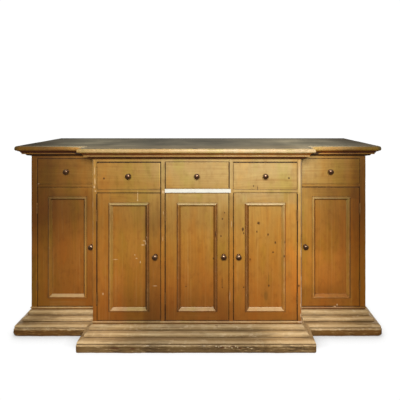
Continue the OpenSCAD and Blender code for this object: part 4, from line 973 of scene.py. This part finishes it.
def door_moulding(i, bay):
    xl, xr, yf, side = bay
    lo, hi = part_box(f"door_{i}_moulding")
    y = yf + 0.0008
    prof = ([(0.0, 0.1), (0.0, 1.5), (0.4, 2.2), (1.2, 2.5)] + arc(9.4, 1.6, 8.2, 6.4, 168, 92, 8)
            + [(10.3, 7.7), (11.0, 7.0), (12.2, 5.6), (14.2, 3.0), (16.2, 0.4), (18.0, -2.0), (19.2, -3.5), (20.2, -4.5),
               (21.3, -5.1), (21.5, -5.95), (10.2, -5.95), (10.2, 0.1)])
    crest = [0, 0.1, 0.1, 0.1] + [0.1, 0.1, 0.2, 0.3, 0.35, 0.4, 0.4, 0.4, 0.4] + [0.4, 0.4, 0.3, 0.2, 0.1, 0.1, 0.1, 0, 0, 0, 0, 0]
    bb = Builder()
    w, h = hi.x - lo.x, hi.z - lo.z
    e = 0.00015
    # corner, direction, inward direction
    runs = [((lo.x, y, lo.z), (1, 0, 0), (0, 0, 1), w), ((hi.x, y, lo.z), (0, 0, 1), (-1, 0, 0), h),
            ((hi.x, y, hi.z), (-1, 0, 0), (0, 0, -1), w), ((lo.x, y, hi.z), (0, 0, -1), (1, 0, 0), h)]
    bevel = np.array([1.0 if 10.8 <= u <= 21.4 and v > -5.5 else 0.0 for u, v in prof])
    outer = np.array([1.0 if u < 6.5 and v > 0.5 else 0.0 for u, v in prof])
    ridge = np.array([1.0 if 6.5 <= u < 10.8 and v > 5 else 0.0 for u, v in prof])
    # how each length is tinted, in the order outer slope, ridge, inner bevel, for the bottom, right, top and left:
    # painted highlight on slopes turned to the lamp, painted shade on those turned from it, and grime on the strips
    # beside the knobs
    slope_light_and_grime = {1: [(-0.6, 0.3, 2.3), (0.8, 1.0, -1.7), (0.6, 0.9, -0.2), (-2.1, 0.3, 0.8)],
             2: [(-0.7, 0.2, 2.6), (-1.0, -0.7, -1.9), (0.9, 1.1, -0.5), (-2.3, 0.9, 0.7)],
             3: [(-0.7, 0.3, 2.5), (-1.2, -0.8, -1.0), (0.5, 1.0, -0.4), (-1.5, -0.4, -0.6)],
             4: [(-0.7, 0.3, 2.5), (-0.9, 0.7, 0.5), (0.5, 1.1, -0.5), (-1.1, -1.2, -1.2)],
             5: [(-0.2, 0.5, 0.2), (-2.9, 0.3, 1.0), (0.4, 1.0, -0.4), (0.5, 0.4, -0.9)]}[i]
    tints = [a * outer + c * ridge + d * bevel for a, c, d in slope_light_and_grime]
    for k, (start, along, inward, length) in enumerate(runs):
        bb.strip([(u * MM, v * MM) for u, v in prof], start, along, inward, (0, -1, 0), e, length - e, -1, -1, 0.02,
                 2000 + 40 * i + k, 0.0004, crest, nick=0.0005, tint=tints[k])
    bb.build(f"door_{i}_bolection", waxed, f"door_{i}_moulding")


GAP_EDGE = [0.0, 0.3, 0.5, 0.4, 0.1]
# how far each front stands past its drawn size: left, right, bottom and top in millimetres
SWOLLEN = [(0.9, 1.3, 1.3, 1.2), (1.5, 0.3, 1.0, 0.0), (0.0, 0.3, 1.4, 0.9), (1.2, 1.5, 1.2, 0.0), (1.2, 1.5, 0.9, 1.2)]
for i, bay in enumerate(BAYS, 1):
    xl, xr, yf, side = bay
    y = yf + 0.0008
    xc = (xl + xr) / 2
    lo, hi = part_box(f"drawer_{i}_front")
    b = Builder()
    left, right, down, up = SWOLLEN[i - 1]
    lo = lo - type(lo)((left * MM, 0, down * MM))
    hi = hi + type(hi)((right * MM, 0, up * MM))
    b.board(lo, hi, r=0.0012 if i == 1 else 0.0015, step=0.03, grain=0, wear=0.5, seed=2300 + i, edge=GAP_EDGE[i - 1])
    b.build(f"drawer_{i}_face", waxed, f"drawer_{i}_front")
    b = Builder()
    for k, (lo, hi) in enumerate(solids(f"drawer_{i}_box")):
        b.board(lo, hi, r=0.0009, step=0.09, grain=1 if k in (0,) or (hi - lo)[0] < 0.05 else 0, seed=2400 + 10 * i + k)
    b.build(f"drawer_{i}_carcass", raw, f"drawer_{i}_box")
    knob(f"drawer_{i}_pull", f"drawer_{i}_knob", xc, y, 0.898)

    b = Builder()
    for k, (lo, hi) in enumerate(solids(f"door_{i}_frame")):
        tall = (hi - lo)[2] > 0.5
        free = "yYzZ" + (("x" if (lo + hi)[0] / 2 < xc else "X") if tall else "")
        b.board(lo, hi, r=0.0015, step=0.03, grain=2 if tall else 0, wear=0.5, seed=2600 + 10 * i + k, edge=GAP_EDGE[i - 1], free=free)
    b.build(f"door_{i}_stiles_rails", waxed, f"door_{i}_frame")
    lo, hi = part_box(f"door_{i}_panel")
    b = Builder()
    b.board((lo.x + 0.0073, lo.y, lo.z + 0.0073), (hi.x - 0.0073, hi.y, hi.z - 0.0073), r=0.0008, step=0.04, grain=2, seed=2700 + i)
    b.build(f"door_{i}_field", waxed, f"door_{i}_panel")
    door_moulding(i, bay)
    kx = xr - 0.029 if side < 0 else xl + 0.029
    knob(f"door_{i}_pull", f"door_{i}_knob", kx, y, 0.468)

# ---------------------------------------------------------------- stage, lights, camera
me = bpy.data.meshes.new("floor")
me.from_pydata([(-30, -30, -0.0005), (30, -30, -0.0005), (30, 30, -0.0005), (-30, 30, -0.0005)], [], [(0, 1, 2, 3)])
floor = bpy.data.objects.new("floor", me)
scene.collection.objects.link(floor)
mat = bpy.data.materials.new("pale_floor")
mat.use_nodes = True
bs = mat.node_tree.nodes["Principled BSDF"]
bs.inputs["Base Color"].default_value = (0.0, 0.0, 0.0, 1)
bs.inputs["Roughness"].default_value = 0.9
bs.inputs["Specular IOR Level"].default_value = 0.0
n = Nodes(mat.node_tree)
ao = n.new("ShaderNodeAmbientOcclusion", samples=8)
ao.inputs["Distance"].default_value = 0.10
fx, fy, fz = n.split(n.new("ShaderNodeTexCoord").outputs["Object"])
# painted shadow: mostly in front of the end bays, the glowing floor is greyed where ambient occlusion finds the plinth
# close
floor_painted_shadow = n.math("MULTIPLY", n.step(fy, -0.275, -0.235, 0.15, 1.0), n.step(ao.outputs["AO"], 0.97, 0.46))
n.put(bs.inputs["Emission Color"], n.mix(floor_painted_shadow, (1, 1, 1), (0.60, 0.59, 0.58)))
bs.inputs["Emission Strength"].default_value = 1.03
me.materials.append(mat)
floor.visible_diffuse = False
floor.visible_glossy = False
floor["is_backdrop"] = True

world = bpy.data.worlds.new("studio")
scene.world = world
world.use_nodes = True
n = Nodes(world.node_tree)
bg = world.node_tree.nodes["Background"]
path = n.new("ShaderNodeLightPath")
bg2 = n.new("ShaderNodeBackground")
bg2.inputs["Color"].default_value = (1, 1, 1, 1)
bg2.inputs["Strength"].default_value = 1.05
bg.inputs["Color"].default_value = (1, 0.97, 0.93, 1)
bg.inputs["Strength"].default_value = 0.13
mx = n.new("ShaderNodeMixShader")
world.node_tree.links.new(path.outputs["Is Camera Ray"], mx.inputs[0])
world.node_tree.links.new(bg.outputs[0], mx.inputs[1])
world.node_tree.links.new(bg2.outputs[0], mx.inputs[2])
world.node_tree.links.new(mx.outputs[0], world.node_tree.nodes["World Output"].inputs["Surface"])


def area(name, loc, target, w, h, energy, colour=(1, 1, 1)):
    ld = bpy.data.lights.new(name, "AREA")
    ld.shape = "RECTANGLE"
    ld.size, ld.size_y, ld.energy, ld.color = w, h, energy, colour
    lo_ = bpy.data.objects.new(name, ld)
    scene.collection.objects.link(lo_)
    lo_.location = loc
    from mathutils import Vector
    d = Vector(target) - Vector(loc)
    lo_.rotation_euler = d.to_track_quat("-Z", "Y").to_euler()
    return lo_


area("key", (0.20, -2.9, 2.0), (0.14, -0.2, 0.70), 1.5, 0.9, 132, (1, 0.97, 0.92))
area("top_soft", (0.0, 0.6, 3.1), (0.0, 0.0, 1.0), 2.4, 1.2, 16)
area("back_fill", (0.0, 3.0, 0.55), (0.0, 0.2, 0.55), 3.0, 0.7, 40)
area("left_fill", (-3.0, 2.1, 0.50), (-0.95, 0.1, 0.50), 1.4, 0.9, 50)
area("right_fill", (3.0, 2.1, 0.50), (0.95, 0.1, 0.50), 1.4, 0.9, 50)

cam_data = bpy.data.cameras.new("camera")
cam = bpy.data.objects.new("camera", cam_data)
scene.collection.objects.link(cam)
cam.location = (0.115, -1.756, 1.248)
cam.rotation_euler = (math.radians(90), 0, 0)
cam_data.sensor_width = 36.0
cam_data.lens = 25.65
cam_data.shift_x = -0.04625
cam_data.shift_y = -0.2235
cam_data.clip_start = 0.05
cam_data.clip_end = 200
scene.camera = cam

scene.view_settings.view_transform = "Standard"
scene.view_settings.look = "None"
scene.view_settings.exposure = 0.0
scene.view_settings.gamma = 1.0

lo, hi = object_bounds()
